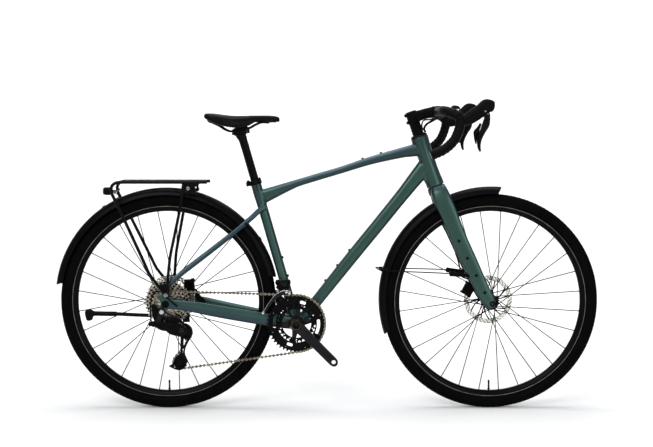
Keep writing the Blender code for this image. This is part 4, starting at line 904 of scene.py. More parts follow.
def pins_along(route):
    """Pin places, one pitch apart, round the closed route."""
    pts = [Vector(p) for p in route] + [Vector(route[0])]
    lengths = [(b - a).length for a, b in zip(pts, pts[1:])]
    total = sum(lengths)
    count = 2 * round(total / PITCH / 2)
    step = total / count
    out, i, walked = [], 0, 0.0
    for k in range(count):
        target = k * step
        while walked + lengths[i] < target:
            walked += lengths[i]
            i += 1
        f = (target - walked) / lengths[i]
        out.append(pts[i].lerp(pts[i + 1], f))
    return out


PINS = pins_along(chain_route())


def phase(centre, radius):
    """Where, in radians, a wheel's first gap between teeth is, so that the chain's pins lie in its gaps."""
    best = min(PINS, key=lambda p: abs((p - Vector(centre)).length - radius))
    return math.atan2(best.y - centre[1], best.x - centre[0])


def toothed(centre, teeth, start=0.0, tall=1.0):
    pr = pitch_radius(teeth)
    shape = ((0.0, -3.95), (0.15, -3.5), (0.24, -2.2), (0.32, 0.4), (0.40, 2.9 * tall), (0.46, 3.7 * tall), (0.54, 3.7 * tall), (0.60, 2.9 * tall), (0.68, 0.4), (0.76, -2.2), (0.85, -3.5))
    out = []
    for k in range(teeth):
        for f, dr in shape:
            a = start + 2 * math.pi * (k + f) / teeth
            out.append((centre[0] + (pr + dr) * math.cos(a), centre[1] + (pr + dr) * math.sin(a)))
    return out


def arc_slot(centre, r0, r1, deg0, deg1, count=10):
    """A window between two radii and two angles, with softened corners."""
    soft = math.degrees(2.2 / r1)
    out = [at(centre, r1, deg0 + soft + (deg1 - deg0 - 2 * soft) * k / count) for k in range(count + 1)]
    out += [at(centre, r1 - 2.0, deg1), at(centre, r0 + 2.0, deg1)]
    out += [at(centre, r0, deg1 - soft - (deg1 - deg0 - 2 * soft) * k / count) for k in range(count + 1)]
    out += [at(centre, r0 + 2.0, deg0), at(centre, r1 - 2.0, deg0)]
    return out


# Cog steel in dark and light patches, partly painted highlight and shade; the bright colour on the teeth edges is a
# painted highlight.
NICKEL = plain("nickel_cogs", srgb(52, 46, 38), srgb(188, 178, 160), 0.30, 0.9, grain=420.0, bump=0.10, patch=300.0, edge_wear_and_glint=srgb(226, 220, 206))
CHAIN_PLATE = brushed("chain_outer", srgb(84, 77, 62), srgb(150, 141, 121), 0.34)
CHAIN_ROLLER = brushed("chain_roller", srgb(70, 64, 52), srgb(120, 112, 95), 0.36)
CHAIN_INNER = brushed("chain_inner", srgb(84, 77, 63), srgb(150, 141, 121), 0.36)
RING_BLACK = plain("chainring_black", srgb(5, 5, 5), srgb(10, 10, 11), 0.34, 0.5, spec=0.1, grain=1500.0, bump=0.02)
COPPER = plain("copper_ring", srgb(82, 60, 40), srgb(112, 86, 60), 0.3, 1.0, grain=1500.0, bump=0.03)
SILVER = plain("bright_alloy", srgb(176, 176, 180), srgb(214, 214, 216), 0.22, 1.0, grain=1800.0, bump=0.03)


def chain_piece():
    plates, inner, pins = bmesh.new(), bmesh.new(), bmesh.new()

    def link(bm, a, b, y0, y1):
        d = (b - a).normalized()
        n = Vector((-d.y, d.x))
        loop = []
        for centre, sign in ((a, -1), (b, 1)):
            for k in range(13):
                t = math.radians(-161 + 322 * k / 12)
                loop.append(centre + (d * math.cos(t) * sign + n * math.sin(t) * sign) * 4.2)
        low = [bm.verts.new((p.x * MM, y0 * MM, p.y * MM)) for p in loop]
        high = [bm.verts.new((p.x * MM, y1 * MM, p.y * MM)) for p in loop]
        bm.faces.new(low)
        bm.faces.new(high[::-1])
        for k in range(len(loop)):
            m = (k + 1) % len(loop)
            bm.faces.new((low[m], low[k], high[k], high[m]))

    n = len(PINS)
    for k in range(n):
        a, b = PINS[k], PINS[(k + 1) % n]
        if k % 2 == 0:
            link(plates, a, b, -50.65, -49.75)
            link(plates, a, b, -46.25, -45.35)
        else:
            link(inner, a, b, -49.65, -48.85)
            link(inner, a, b, -47.15, -46.35)
        rod_bm(pins, (a.x, -50.8, a.y), (a.x, -45.2, a.y), 1.8, sides=10)
        rod_bm(pins, (a.x, -48.8, a.y), (a.x, -47.2, a.y), 3.7, sides=14)
    keep(make("chain_outer_plates", plates, 35), "frame", CHAIN_PLATE, ("chain",))
    keep(make("chain_inner_plates", inner, 35), "frame", CHAIN_INNER)
    keep(make("chain_pins_and_rollers", pins, 35), "frame", CHAIN_ROLLER)


def cassette_piece():
    cogs, shades = [], []
    for k, teeth in enumerate((36, 32, 28, 24, 21, 19, 17, 15, 13, 11)):
        y = -28.0 - 3.95 * k
        start = phase(REAR_HUB, pitch_radius(19)) if teeth == 19 else 0.13 * k
        holes = [circle(REAR_HUB, 17.3, 36)]
        pr = pitch_radius(teeth)
        if teeth >= 21:
            lanes = [(pr - 9.5, 2.3, teeth // 2), (pr - 16.5, 2.0, teeth // 3)] if teeth >= 28 else [(pr - 9.5, 2.2, teeth // 2)]
            for r, size, count in lanes:
                if r > 24:
                    holes += [circle(at(REAR_HUB, r, 360 * j / count + 4 * k), size, 10) for j in range(count)]
            if teeth >= 24:
                inner_r = 21.5
                outer_r = pr - (22.5 if teeth >= 28 else 15)
                if outer_r - inner_r > 6:
                    holes += [arc_slot(REAR_HUB, inner_r, outer_r, 60 * j + 8 + 5 * k, 60 * j + 48 + 5 * k, 6) for j in range(6)]
        cogs.append(plate("cog", toothed(REAR_HUB, teeth, start, 0.9), y - 0.85, y + 0.75, holes))
        # A black disc on each cog's outer face, out to just inside its teeth: painted shade between the cogs, not a
        # real carrier.
        shade = pr - 5.2
        if shade > 22 and teeth > 11:
            shades.append(revolve("shade", [(17.5, y - 1.5), (shade - 0.8, y - 1.5), (shade, y - 1.2), (shade, y - 0.9), (17.5, y - 0.9)], (REAR_HUB[0], 0, REAR_HUB[1]), (0, 1, 0), 72, closed=True))
        if k:
            cogs.append(revolve("spacer", [(17.3, y + 0.9), (17.3, y + 3.1), (20.3, y + 3.1), (20.3, y + 0.9)], (REAR_HUB[0], 0, REAR_HUB[1]), (0, 1, 0), 36, closed=True))
    keep(merge("cassette_cogs", *cogs), "cassette", NICKEL, ("cassette",))
    # The black discs are painted shade between the cogs.
    keep(merge("cassette_carriers", *shades), "cassette", BLACK_SMOOTH)
    bm = bmesh.new()
    revolve_bm(bm, [(11.0, -64.2), (11.0, -67.2), (12.5, -67.9), (15.6, -67.9), (17.6, -66.6), (17.6, -64.6), (16.9, -64.2)], (REAR_HUB[0], 0, REAR_HUB[1]), (0, 1, 0), 48, closed=True)
    for k in range(12):
        x, z = at(REAR_HUB, 12.6, 30 * k)
        box_bm(bm, (x - 1.1, -68.3, z - 0.8), (x + 1.1, -66.9, z + 0.8), ((x, -67, z), "Y", -30 * k))
    keep(make("cassette_lockring", bm, 35), "cassette", SCREW)


def spider_outline(reach, tip, root):
    arms = [CRANK_DEG + 55, CRANK_DEG + 127, CRANK_DEG - 127, CRANK_DEG - 55]
    out = []
    for k in range(180):
        a = 2.0 * k
        gap = min(abs((a - b + 180) % 360 - 180) for b in arms)
        best, r = root, root
        while r < reach:
            half = tip + 15.0 * ((reach - r) / reach) ** 2.2
            if r * math.sin(math.radians(min(gap, 90))) > half:
                break
            best = r
            r += 0.5
        out.append(at(BB, best, a))
    return out


CRANK_DEG = -45.0


def chainring_pieces():
    start = phase(BB, pitch_radius(46))
    slots = []
    for mid, half in ((73, 7.5), (-8, 19), (252, 7.5), (172, 19)):
        slots.append(arc_slot(BB, 66.5, 76.5, mid - half, mid + half))
    outer = plate("ring", toothed(BB, 46, start), -49.0, -47.0, [circle(BB, 62.0, 90), *slots])
    outer_face = plate("face", circle(BB, 85.6, 140), -51.4, -47.4, [circle(BB, 62.5, 90), *slots], bevel=0.5)
    tabs = []
    for b in (CRANK_DEG + 55, CRANK_DEG + 127, CRANK_DEG - 127, CRANK_DEG - 55):
        x, z = at(BB, 55, b)
        q = [at(BB, 66, b + 13), at(BB, 60, b + 9), at((x, z), 7.4, b + 90), at((x, z), 7.4, b + 135), at((x, z), 7.4, b + 180), at((x, z), 7.4, b - 135), at((x, z), 7.4, b - 90), at(BB, 60, b - 9), at(BB, 66, b - 13)]
        tabs.append(plate("tab", q, -50.4, -47.2, bevel=0.4))
    # The shift pins, set from the inner side, show as small studs on the outer face.
    keep(merge("chainring_outer_plate", outer, outer_face, *tabs), "crankset", RING_BLACK, ("chainring_outer",))
    for k, a in enumerate((20, 68, 110, 155, 200, 245, 290, 335)):
        x, z = at(BB, 82.2, a)
        bolt(f"chainring_pin_{k}", (x, -51.2, z), (0, -1, 0), 1.5, 0.7, "crankset", SCREW)
    inner_holes = [circle(BB, 47.5, 80)] + [circle(at(BB, 54.0, 30 + 24 * j), 2.0, 10) for j in range(15)]
    inner = plate("inner", toothed(BB, 30, 0.05), -42.0, -40.0, inner_holes)
    keep(inner, "crankset", RING_BLACK, ("chainring_inner",))
    inner.name = "chainring_inner_plate"
    for k, b in enumerate((CRANK_DEG + 55, CRANK_DEG + 127, CRANK_DEG - 127, CRANK_DEG - 55)):
        x, z = at(BB, 55, b)
        bolt(f"chainring_bolt_{k}", (x, -50.2, z), (0, -1, 0), 4.4, 2.0, "crankset", BLACK_SCREW, flange=5.2)
        sleeve = revolve(f"chainring_sleeve_{k}", [(5.0, -47.5), (5.0, -40.2), (3.0, -40.2), (3.0, -47.5)], (x, 0, z), (0, 1, 0), 20, closed=True)
        keep(sleeve, "crankset", BLACK_SCREW)


def crank_pieces():
    for side, tag, deg in ((-1, "right", CRANK_DEG), (1, "left", CRANK_DEG + 180)):
        u = Vector((math.cos(math.radians(deg)), 0, math.sin(math.radians(deg))))

        def point(r, y):
            return (BB[0] + u.x * r, side * y, BB[1] + u.z * r)
        rows = [(point(-17.2, 71.2), 9.0, 8), (point(-15.4, 71.0), 11.0, 12.5), (point(-10, 70.8), 12.0, 16.2), (point(0, 70.6), 12.4, 18.2), (point(12, 70.8), 12.0, 18.0), (point(40, 72.5), 9.8, 16.6), (point(90, 76), 7.8, 15.2),
                (point(140, 78.6), 7.2, 14.6), (point(165, 79), 7.1, 14.7), (point(176, 79), 7.0, 12.6), (point(181.5, 79), 6.8, 8.6), (point(184.3, 79), 6.0, 3.8)]
        arm = loft("arm", rows, 40, 5.0, per=4, sharp=32)
        cutters = bmesh.new()
        end = point(170, 79)
        rod_bm(cutters, (end[0], side * 60, end[2]), (end[0], side * 100, end[2]), 7.3, sides=40)
        rod_bm(cutters, (BB[0], side * (64 if side < 0 else 58), BB[1]), (BB[0], side * 100, BB[1]), 10.6 if side < 0 else 12.2, sides=40)
        cutters = make("cutters", cutters)
        mod = arm.modifiers.new("holes", "BOOLEAN")
        mod.operation, mod.object = "DIFFERENCE", cutters
        arm = baked(arm)
        bpy.data.objects.remove(cutters, do_unlink=True)
        arm.name = f"crank_arm_{tag}_forging"
        arm.data.shade_smooth()
        arm.data.set_sharp_from_angle(angle=math.radians(38))
        keep(arm, "crankset", GREY_ARM, (f"crank_arm_{tag}",))
        face = side * 83.1
        d = side * 1.0
        for name, profile, look in (
                ("cap_ring", [(15.3, face - d), (15.3, face + d * 0.5), (17.0, face + d * 0.5), (17.6, face - d * 0.3), (17.6, face - d)], BLACK_SMOOTH),
                ("copper_ring", [(13.9, face - d), (13.9, face + d * 0.25), (15.3, face + d * 0.25), (15.3, face - d)], COPPER),
                ("cap_inner", [(10.4, face - d * 9), (10.4, face), (11.0, face + d * 0.35), (13.9, face + d * 0.35), (13.9, face - d), (11.6, face - d * 9)], BLACK_SMOOTH)):
            piece = revolve(f"crank_{tag}_{name}", profile, (BB[0], 0, BB[1]), (0, 1, 0), 56, closed=True)
            keep(piece, "crankset", look)
        bush = revolve(f"pedal_bush_{tag}", [(7.05, side * 72.4), (7.05, side * 86.0), (8.6, side * 86.15), (9.4, side * 85.9), (9.4, side * 85.2), (8.0, side * 84.6), (8.0, side * 73.2), (9.2, side * 72.2), (8.6, side * 72.0)],
                       (end[0], 0, end[2]), (0, 1, 0), 40, closed=True)
        keep(bush, "crankset", BLACK_SMOOTH)
    star = plate("crank_spider", spider_outline(61.0, 6.4, 26.0), -47.0, -43.0, [circle(BB, 14.0, 40)], bevel=0.7)
    rise = plate("rise", spider_outline(50.0, 3.0, 23.5), -50.0, -46.8, [circle(BB, 14.0, 40)], bevel=0.9)
    boss = revolve("boss", [(12.3, -43.0), (25.5, -43.0), (25.5, -49.0), (22.0, -56.0), (19.0, -63.0), (12.3, -63.0)], (BB[0], 0, BB[1]), (0, 1, 0), 56, closed=True)
    keep(merge("crank_spider_star", star, rise, boss), "crankset", GREY_ARM)
    axle = revolve("crank_axle", [(0, -62.0), (11.8, -62.0), (11.8, 82.2), (10.6, 83.4), (8.0, 83.4), (8.0, 76.0), (0, 76.0)], (BB[0], 0, BB[1]), (0, 1, 0), 40)
    keep(axle, "crankset", STEEL)
    for side in (-1, 1):
        cup = revolve(f"bearing_cup_{'right' if side < 0 else 'left'}", [(12.4, side * 34.4), (22.3, side * 34.4), (22.9, side * 35.4), (22.9, side * 39.4), (21.6, side * 41.2), (18.5, side * 42.0), (12.4, side * 42.0)], (BB[0], 0, BB[1]), (0, 1, 0), 48, closed=True)
        keep(cup, "frame", BLACK_SMOOTH, ("bottom_bracket_bearings",) if side < 0 else ())
    for k, dy in enumerate((0,)):
        x, z = point_left(20)
        bolt("left_arm_pinch_bolt", (x[0], x[1], x[2]), z, 3.4, 3.0, "crankset", BLACK_SCREW)


def point_left(r):
    """A pinch bolt in the left arm's side, near the axle."""
    a = math.radians(CRANK_DEG + 180)
    u, n = Vector((math.cos(a), 0, math.sin(a))), Vector((-math.sin(a), 0, math.cos(a)))
    p = Vector((BB[0], 71, BB[1])) + u * r - n * 15.6
    return p, -n


chain_piece()
cassette_piece()
chainring_pieces()
crank_pieces()


# ---------------------------------------------------- derailleurs and brakes
def fine(name, parts, voxel=0.9, rounds=3, share=0.5):
    return fused(name, parts, voxel=voxel, rounds=rounds, keep_share=share)


def rear_derailleur():
    parts = []
    parts.append(loft("p", [((-466.5, -58.0, 268.2), 12.5, 12.5), ((-466.5, -60.0, 268.2), 15.4, 15.4), ((-466.5, -80.0, 268.2), 15.4, 15.4), ((-466.5, -84.0, 268.2), 13.4, 13.4), ((-466.5, -85.0, 268.2), 11.5, 11.5)], 40, per=1))
    # Upper knuckle round the link's lower end, with the cable's fixing behind it.
    parts.append(loft("p", [((-546, -84, 300), 6.5, 9), ((-543, -85, 291), 8.5, 12.5), ((-530, -84, 283), 10, 14), ((-515, -82, 281), 10.5, 15.5), ((-497, -79, 278), 10, 17), ((-480, -76, 273), 9.5, 14.5), ((-466, -74, 268), 9, 12)], 28, 2.9))
    parts.append(loft("p", [((-520, -68, 300), 5, 9), ((-505, -68, 297), 8, 12), ((-485, -66, 290), 8.5, 15), ((-466, -65, 279), 8, 13)], 24, 2.6))
    parts.append(loft("p", [((-513, -80, 266), 7, 4), ((-500, -80, 262), 8.5, 7.5), ((-482, -78, 256), 8, 7), ((-472, -76, 256), 6, 6)], 24, 2.6))
    body = fine("rear_derailleur_knuckles", parts)
    keep(body, "frame", BLACK, ("rear_derailleur_body",))
    link = plate("hanger_link", [(-540.5, 333), (-541.5, 341), (-534, 343.5), (-527, 341), (-520.5, 334), (-519, 326), (-524, 319), (-530, 311), (-532.5, 301), (-533, 291), (-538, 284), (-545, 284.5), (-549.5, 291), (-549, 300), (-545, 312), (-542, 322)],
                 -89.5, -83.0, bevel=1.3)
    keep(link, "frame", GREY_ARM)
    pin = revolve("hanger_screw_neck", [(0, 0), (8.9, 0), (8.9, 9.0), (0, 9.0)], (HANGER[0], -80.5, HANGER[1]), (0, -1, 0), 40)
    keep(pin, "frame", BLACK_SMOOTH)
    bolt("hanger_screw", (HANGER[0], -89.5, HANGER[1]), (0, -1, 0), 7.2, 2.6, "frame", SILVER)
    for name, where, r in (("upper_link_pin", (-541, -93.0, 291), 4.0), ("outer_link_pin", (-515, -92.3, 281), 4.4), ("rear_link_pin", (-492, -88.5, 284), 3.4)):
        bolt(name, where, (0, -1, 0), r, 1.8, "frame", BLACK_SCREW)
    cap = revolve("lower_pivot_cap", [(0, -87.2), (7.2, -87.2), (8.2, -86.6), (8.4, -84.6), (0, -84.6)], (CAGE_PIVOT[0], 0, CAGE_PIVOT[1]), (0, 1, 0), 40)
    keep(cap, "frame", GREY_ARM)
    # The bright inner link that shows above the outer one, and its two limit screws.
    strip = loft("inner_link_plate", [((-523, -72, 326), 1.2, 2.4), ((-500, -70, 315), 1.4, 3.2), ((-478, -67, 303), 1.4, 2.8), ((-468, -65, 297), 1.2, 2.0)], 12, 4.0)
    keep(strip, "frame", GREY_ARM)
    for k in range(2):
        bolt(f"limit_screw_{k}", (-474 + 8 * k, -82.5 + k, 291.5 - 4 * k), (0.2, -1, 0.5), 1.7, 1.6, "frame", SCREW)
    knob = revolve("cable_adjuster", [(2.2, -5), (8.6, -4.6), (9.6, -3), (9.8, 0), (9.6, 3), (8.4, 4.4), (7.2, 8), (6.6, 14), (4.0, 16.5), (2.2, 17)], (-556, -86.0, 289.5), (-0.98, 0, 0.02), 28, closed=True)
    keep(knob, "frame", BLACK)
    # The hanger knuckle, behind the bolt, and the cable's turn above it.
    knuckle = fine("hanger_knuckle", [loft("a", [((-561, -73, 351), 5.0, 6.0), ((-555, -73, 338), 5.5, 9.0), ((-548, -73, 322), 6.0, 15.0), ((-541, -73, 306), 6.0, 17.0), ((-538, -73, 294), 5.0, 13.0)], 28, 3.2)], 1.0, 2, 0.5)
    keep(knuckle, "frame", BLACK_SMOOTH)
    hose = tube("rear_gear_cable", [(-555.5, -87, 284.5), (-561, -88, 291), (-564.5, -88, 308), (-565.5, -88, 330), (-565.5, -88, 350), (-563, -87.5, 368), (-557.5, -85.5, 384), (-548, -82, 394), (-536, -78, 393.5)], 2.3, 8, 16)
    keep(hose, "frame", CABLE, ("rear_shift_cable",))
    ferrule = revolve("rear_gear_cable_ferrule", [(0, 0), (3.1, 0), (3.1, 11), (2.6, 12), (0, 12)], (-538, -78.5, 393.7), (-1, -0.35, 0.05), 20)
    keep(ferrule, "frame", BLACK_SMOOTH)

    out = [(-457, 285), (-446, 279), (-437, 268), (-435.5, 254), (-440.5, 240), (-450.5, 223), (-459, 205), (-462, 191), (-460.5, 182), (-456.5, 172), (-454.5, 159), (-457.5, 146.5), (-465, 137.5), (-476, 133.5), (-488, 134.5), (-500, 139.5), (-512.5, 146.5),
           (-512, 148.5), (-503.5, 152.5), (-497.5, 160), (-494, 170.5), (-487, 178.5), (-480, 184), (-474.5, 194), (-474.5, 215), (-474, 240), (-477, 256), (-481.5, 268), (-479.5, 279), (-471, 285.5)]
    ring = circle(TENSION, 11.0, 28)
    windows = [[(-459, 248), (-452.5, 246), (-455, 233), (-462, 214), (-466, 212), (-465, 232)], [(-464.5, 204), (-468.5, 203), (-469.5, 190), (-466, 186.5), (-464.5, 194)],
               [(-499, 146.5), (-493.5, 151), (-491, 145), (-492.5, 141.8)], arc_slot(TENSION, 12.2, 16.4, 12, 104, 8), arc_slot(TENSION, 12.2, 16.4, 128, 226, 8), arc_slot(TENSION, 12.2, 16.4, 242, 342, 8)]
    outer = plate("cage_plate_outer", out, -56.8, -55.2, windows, bevel=0.35)
    inner = plate("in", [p for p in out if p[0] > -500 or p[1] > 150], -40.9, -39.6, windows[:2] + windows[3:], bevel=0.3)
    stops = bmesh.new()
    for x, z, far in ((-472.5, 243.0, -40.6), (-501.0, 143.2, -52.8), (GUIDE[0], GUIDE[1], -40.6)):
        rod_bm(stops, (x, -55.6, z), (x, far, z), 2.1, sides=14)
    rod_bm(stops, (TENSION[0], -55.6, TENSION[1]), (TENSION[0], -40.6, TENSION[1]), 3.4, sides=18)
    rod_bm(stops, (CAGE_PIVOT[0], -58.5, CAGE_PIVOT[1]), (CAGE_PIVOT[0], -55.3, CAGE_PIVOT[1]), 11.5, 12.5, sides=40)
    stops = make("stops", stops, 40)
    keep(merge("derailleur_cage_plates", outer, inner, stops), "derailleur_cage", BLACK_SMOOTH, ("derailleur_cage",))
    for tag, centre in (("guide", GUIDE), ("tension", TENSION)):
        bolt(f"{tag}_pulley_screw", (centre[0], -56.8, centre[1]), (0, -1, 0), 3.6, 1.5, "derailleur_cage", BLACK_SCREW, flange=5.0)
        start = phase(centre, pitch_radius(11))
        holes = [circle(centre, 6.2, 24)]
        wheel = plate("w", toothed(centre, 11, start, 0.8), -49.2, -46.8, holes)
        hub = revolve("h", [(4.4, -50.8), (6.6, -50.8), (7.2, -49.4), (7.2, -46.6), (6.6, -45.2), (4.4, -45.2)], (centre[0], 0, centre[1]), (0, 1, 0), 28, closed=True)
        keep(merge(f"{tag}_jockey_wheel", wheel, hub), f"{tag}_pulley", PLASTIC, (f"{tag}_pulley",))


def front_derailleur():
    parts = []
    bm = bmesh.new()
    made = box_bm(bm, (-163, -25, 393), (-124, -16.2, 424))
    box_bm(bm, (-166, -31.5, 408), (-157, -17, 425))
    box_bm(bm, (-127, -31.5, 408), (-119, -17, 425))
    rod_bm(bm, (-168, -29, 417), (-118, -29, 417), 4.6, sides=20)
    rod_bm(bm, (-165, -33, 402), (-121, -33, 402), 3.8, sides=18)
    box_bm(bm, (-158, -38, 384), (-146, -27, 412))
    obj = fine("front_derailleur_housing", [make("p", bm)], 0.8, 2, 0.5)
    keep(obj, "frame", BLACK, ("front_derailleur_body",))
    bolt("front_derailleur_mount_bolt", (-143, -25, 412), (0, -1, 0), 4.0, 2.6, "frame", BLACK_SCREW)
    for k in range(2):
        bolt(f"front_limit_screw_{k}", (-152 + 9 * k, -33, 425), (0, 0, 1), 1.7, 2.2, "frame", SCREW)
    bolt("front_cable_clamp_bolt", (-161, -38, 391), (-0.3, -1, 0), 3.0, 2.4, "frame", SCREW)
    band = revolve("front_derailleur_band", [(16.6, -6), (18.4, -6), (18.9, -5), (18.9, 5), (18.4, 6), (16.6, 6)], seat_line(411), (SEAT_SLOPE, 0, 1), 48, closed=True)
    keep(band, "frame", BLACK_SMOOTH)
    cable = tube("front_gear_cable", [(-161.5, -36, 391), (-165, -33.8, 376), (-168, -29.8, 350), (-166, -26, 325)], 0.8, 6, 8)
    keep(cable, "frame", STEEL)

    out = [(-112.0, 377.5), (-112, 386.5), (-117, 391), (-127, 394), (-138, 394.5), (-149, 391.5), (-163, 383.5), (-177, 370), (-190, 351.5), (-202, 333.5), (-209, 323.5), (-209, 318.5), (-205, 317.5),
           (-200, 320), (-188, 337.5), (-175, 354.5), (-159, 369.5), (-142, 378.5), (-126, 380)]
    outer = plate("o", out, -55.9, -54.5, [], bevel=0.4)
    inner_line = [(x, max(z, 322.5)) for x, z in out]
    inner = plate("i", inner_line, -42.7, -41.4, bevel=0.3)
    # Painted highlight: a bright silver rod along the cage's outer edge and three bright silver spots stand for the
    # light the cage's edges catch.
    rim = tube("front_cage_edge", [(x, -56.2, z) for x, z in ((-117, 390), (-128, 393), (-138, 393.5), (-149, 390.5), (-163, 382.5), (-176.5, 369.3), (-189.5, 350.8), (-201.5, 332.8), (-208, 323))], 0.9, 3, 10)
    keep(rim, "front_derailleur_cage", SILVER)
    for k, (x, z) in enumerate(((-121, 384), (-131, 388), (-207, 320.5))):
        shine = revolve(f"front_cage_shoe_{k}", [(0, -1.2), (3.4, -1.0), (4.4, 0.0), (4.4, 0.6), (0, 0.6)], (x, -56.3, z), (0, 1, 0), 24)
        keep(shine, "front_derailleur_cage", SILVER)
    bm = bmesh.new()
    for low, high in (((-207, -55.2, 321.5), (-202.5, -41.8, 326.5)), ((-148, -55.2, 386.5), (-128, -41.8, 391.0)), ((-152, -42, 388), (-130, -33.5, 392)), ((-152, -35.2, 390), (-130, -33.0, 416))):
        made = box_bm(bm, low, high)
    bridge = rounded(make("b", bm), 0.8)
    keep(merge("front_derailleur_cage_plates", outer, inner, bridge), "front_derailleur_cage", GREY_ARM, ("front_derailleur_cage",))
    for k, (x, z) in enumerate(((-204.5, 324), (-138, 394))):
        bolt(f"front_cage_rivet_{k}", (x, -55.9, z), (0, -1, 0), 2.6, 1.1, "front_derailleur_cage", SCREW)


def caliper_piece(tag, hub, degrees, y_mid, body, lean=None, size=1.0, shift=(0.0, 0.0)):
    """A two-bolt hydraulic caliper: two cast halves round the rotor, cooling fins, mounting and bridge bolts and a
    piston cap.
    """
    x, z = at(hub, 74.0, degrees)
    x, z = x + shift[0], z + shift[1]
    degrees = degrees if lean is None else lean
    turn = ((x, 0, z), "Y", -degrees + (180 if degrees > 90 else 0))
    bm = bmesh.new()
    for low, high in (((x - 15, y_mid - 9.2, z - 21), (x + 16, y_mid + 9.4, z + 21)), ((x - 18, y_mid - 6, z - 12), (x - 8, y_mid + 6, z + 12)), ((x + 8, y_mid - 8, z - 24), (x + 17.5, y_mid + 8, z + 24))):
        low = (x + (low[0] - x) * size, low[1], z + (low[2] - z) * size)
        high = (x + (high[0] - x) * size, high[1], z + (high[2] - z) * size)
        box_bm(bm, low, high, turn)
    solid = fine("c", [make("p", bm)], 0.9, 3, 0.6)
    slot = bmesh.new()
    rotor_y = 55.5 if tag == "rear" else 37.5
    rod_bm(slot, (hub[0], rotor_y - 2.4, hub[1]), (hub[0], rotor_y + 2.4, hub[1]), 83.5, sides=160)
    slot = make("slot", slot)
    cut = solid.modifiers.new("slot", "BOOLEAN")
    cut.operation, cut.object = "DIFFERENCE", slot
    solid = baked(solid)
    bpy.data.objects.remove(slot, do_unlink=True)
    solid.name = f"{tag}_caliper_casting"
    solid.data.shade_smooth()
    solid.data.set_sharp_from_angle(angle=math.radians(40))
    keep(solid, body, BLACK, (f"{tag}_brake_caliper",))
    angle = math.radians(degrees)
    out, along = Vector((math.cos(angle), 0, math.sin(angle))), Vector((-math.sin(angle), 0, math.cos(angle)))
    centre = Vector((x, y_mid, z))
    fins = bmesh.new()
    for k in range(5):
        p = centre + out * (15 if degrees > 90 else 16) * size + along * (-10 + 5 * k)
        rod_bm(fins, p + Vector((0, -7.5, 0)), p + Vector((0, 7.5, 0)), 1.5, sides=10)
    keep(make(f"{tag}_caliper_fins", fins, 40), body, BLACK_SMOOTH)
    for k, f in enumerate((-17.5, 17.5)):
        f *= size
        p = centre + along * f + out * 8 * size
        bolt(f"{tag}_caliper_bolt_{k}", tuple(p + out * 8 * size), tuple(out), 4.0, 4.2, body, BLACK_SCREW, flange=5.4)
        bolt(f"{tag}_caliper_bridge_bolt_{k}", tuple(centre + along * f * 0.78 + out * 2 + Vector((0, -9.3, 0))), (0, -1, 0), 3.2, 1.6, body, BLACK_SCREW)
    piston = centre + along * 0.0 - out * 2
    cover = revolve(f"{tag}_piston_cap", [(0, 0), (10.5, 0), (10.5, 1.2), (9.0, 2.0), (0, 2.0)], tuple(piston + Vector((0, 9.2, 0))), (0, 1, 0), 36)
    keep(cover, body, BLACK_SMOOTH)
    return centre, out, along


rear_derailleur()
front_derailleur()
centre, out, along = caliper_piece("front", FRONT_HUB, 152.0, 35.2, "steering")
p = centre + along * -20 + out * 4
hose = tube("front_brake_hose", [tuple(p), (p.x - 6, p.y + 4, p.z + 12), (446, 46, 428), (441, 50, 452), (434, 50, 480), (425, 47, 505)], 2.5, 8, 14)
keep(hose, "steering", CABLE)
bolt("front_hose_banjo", (p.x, p.y + 5, p.z), (0, 1, 0), 4.4, 3.0, "steering", BLACK_SCREW)
centre, out, along = caliper_piece("rear", REAR_HUB, 38.0, 56.0, "frame", lean=4.0, size=1.0, shift=(3.0, -2.0))
p = centre + along * 18 + out * 4
hose = tube("rear_brake_hose", [(-449, 60, 384), (-441, 63, 377), (-430, 65.5, 366), (-416, 66.5, 354), (-400, 66, 345), (-390, 65, 340)], 2.5, 8, 14)
keep(hose, "frame", CABLE)
bracket = loft("rear_caliper_bracket", [((-486, 66, 360), 4.8, 9), ((-462, 65, 372), 4.8, 9), ((-440, 64.5, 378), 4.8, 7), ((-425, 65.5, 352), 4.8, 9), ((-400, 66, 338), 4.5, 8)], 20, 3.0)
keep(bracket, "frame", BLACK)

# -------------------------------------------------------- seatpost and saddle
POST_TOP = seat_line(878.1)
SEAT_AXIS = Vector((SEAT_SLOPE, 0.0, 1.0)).normalized()
SADDLE_SKIN = rubber("saddle_cover", srgb(3, 3, 3), srgb(6, 6, 7), 0.40, spec=0.08, pattern="diamonds", scale=900.0, strength=0.10, distance=0.0002)
BRASS = plain("brass_screw", srgb(150, 118, 78), srgb(196, 162, 112), 0.28, 1.0, grain=1800.0, bump=0.03)


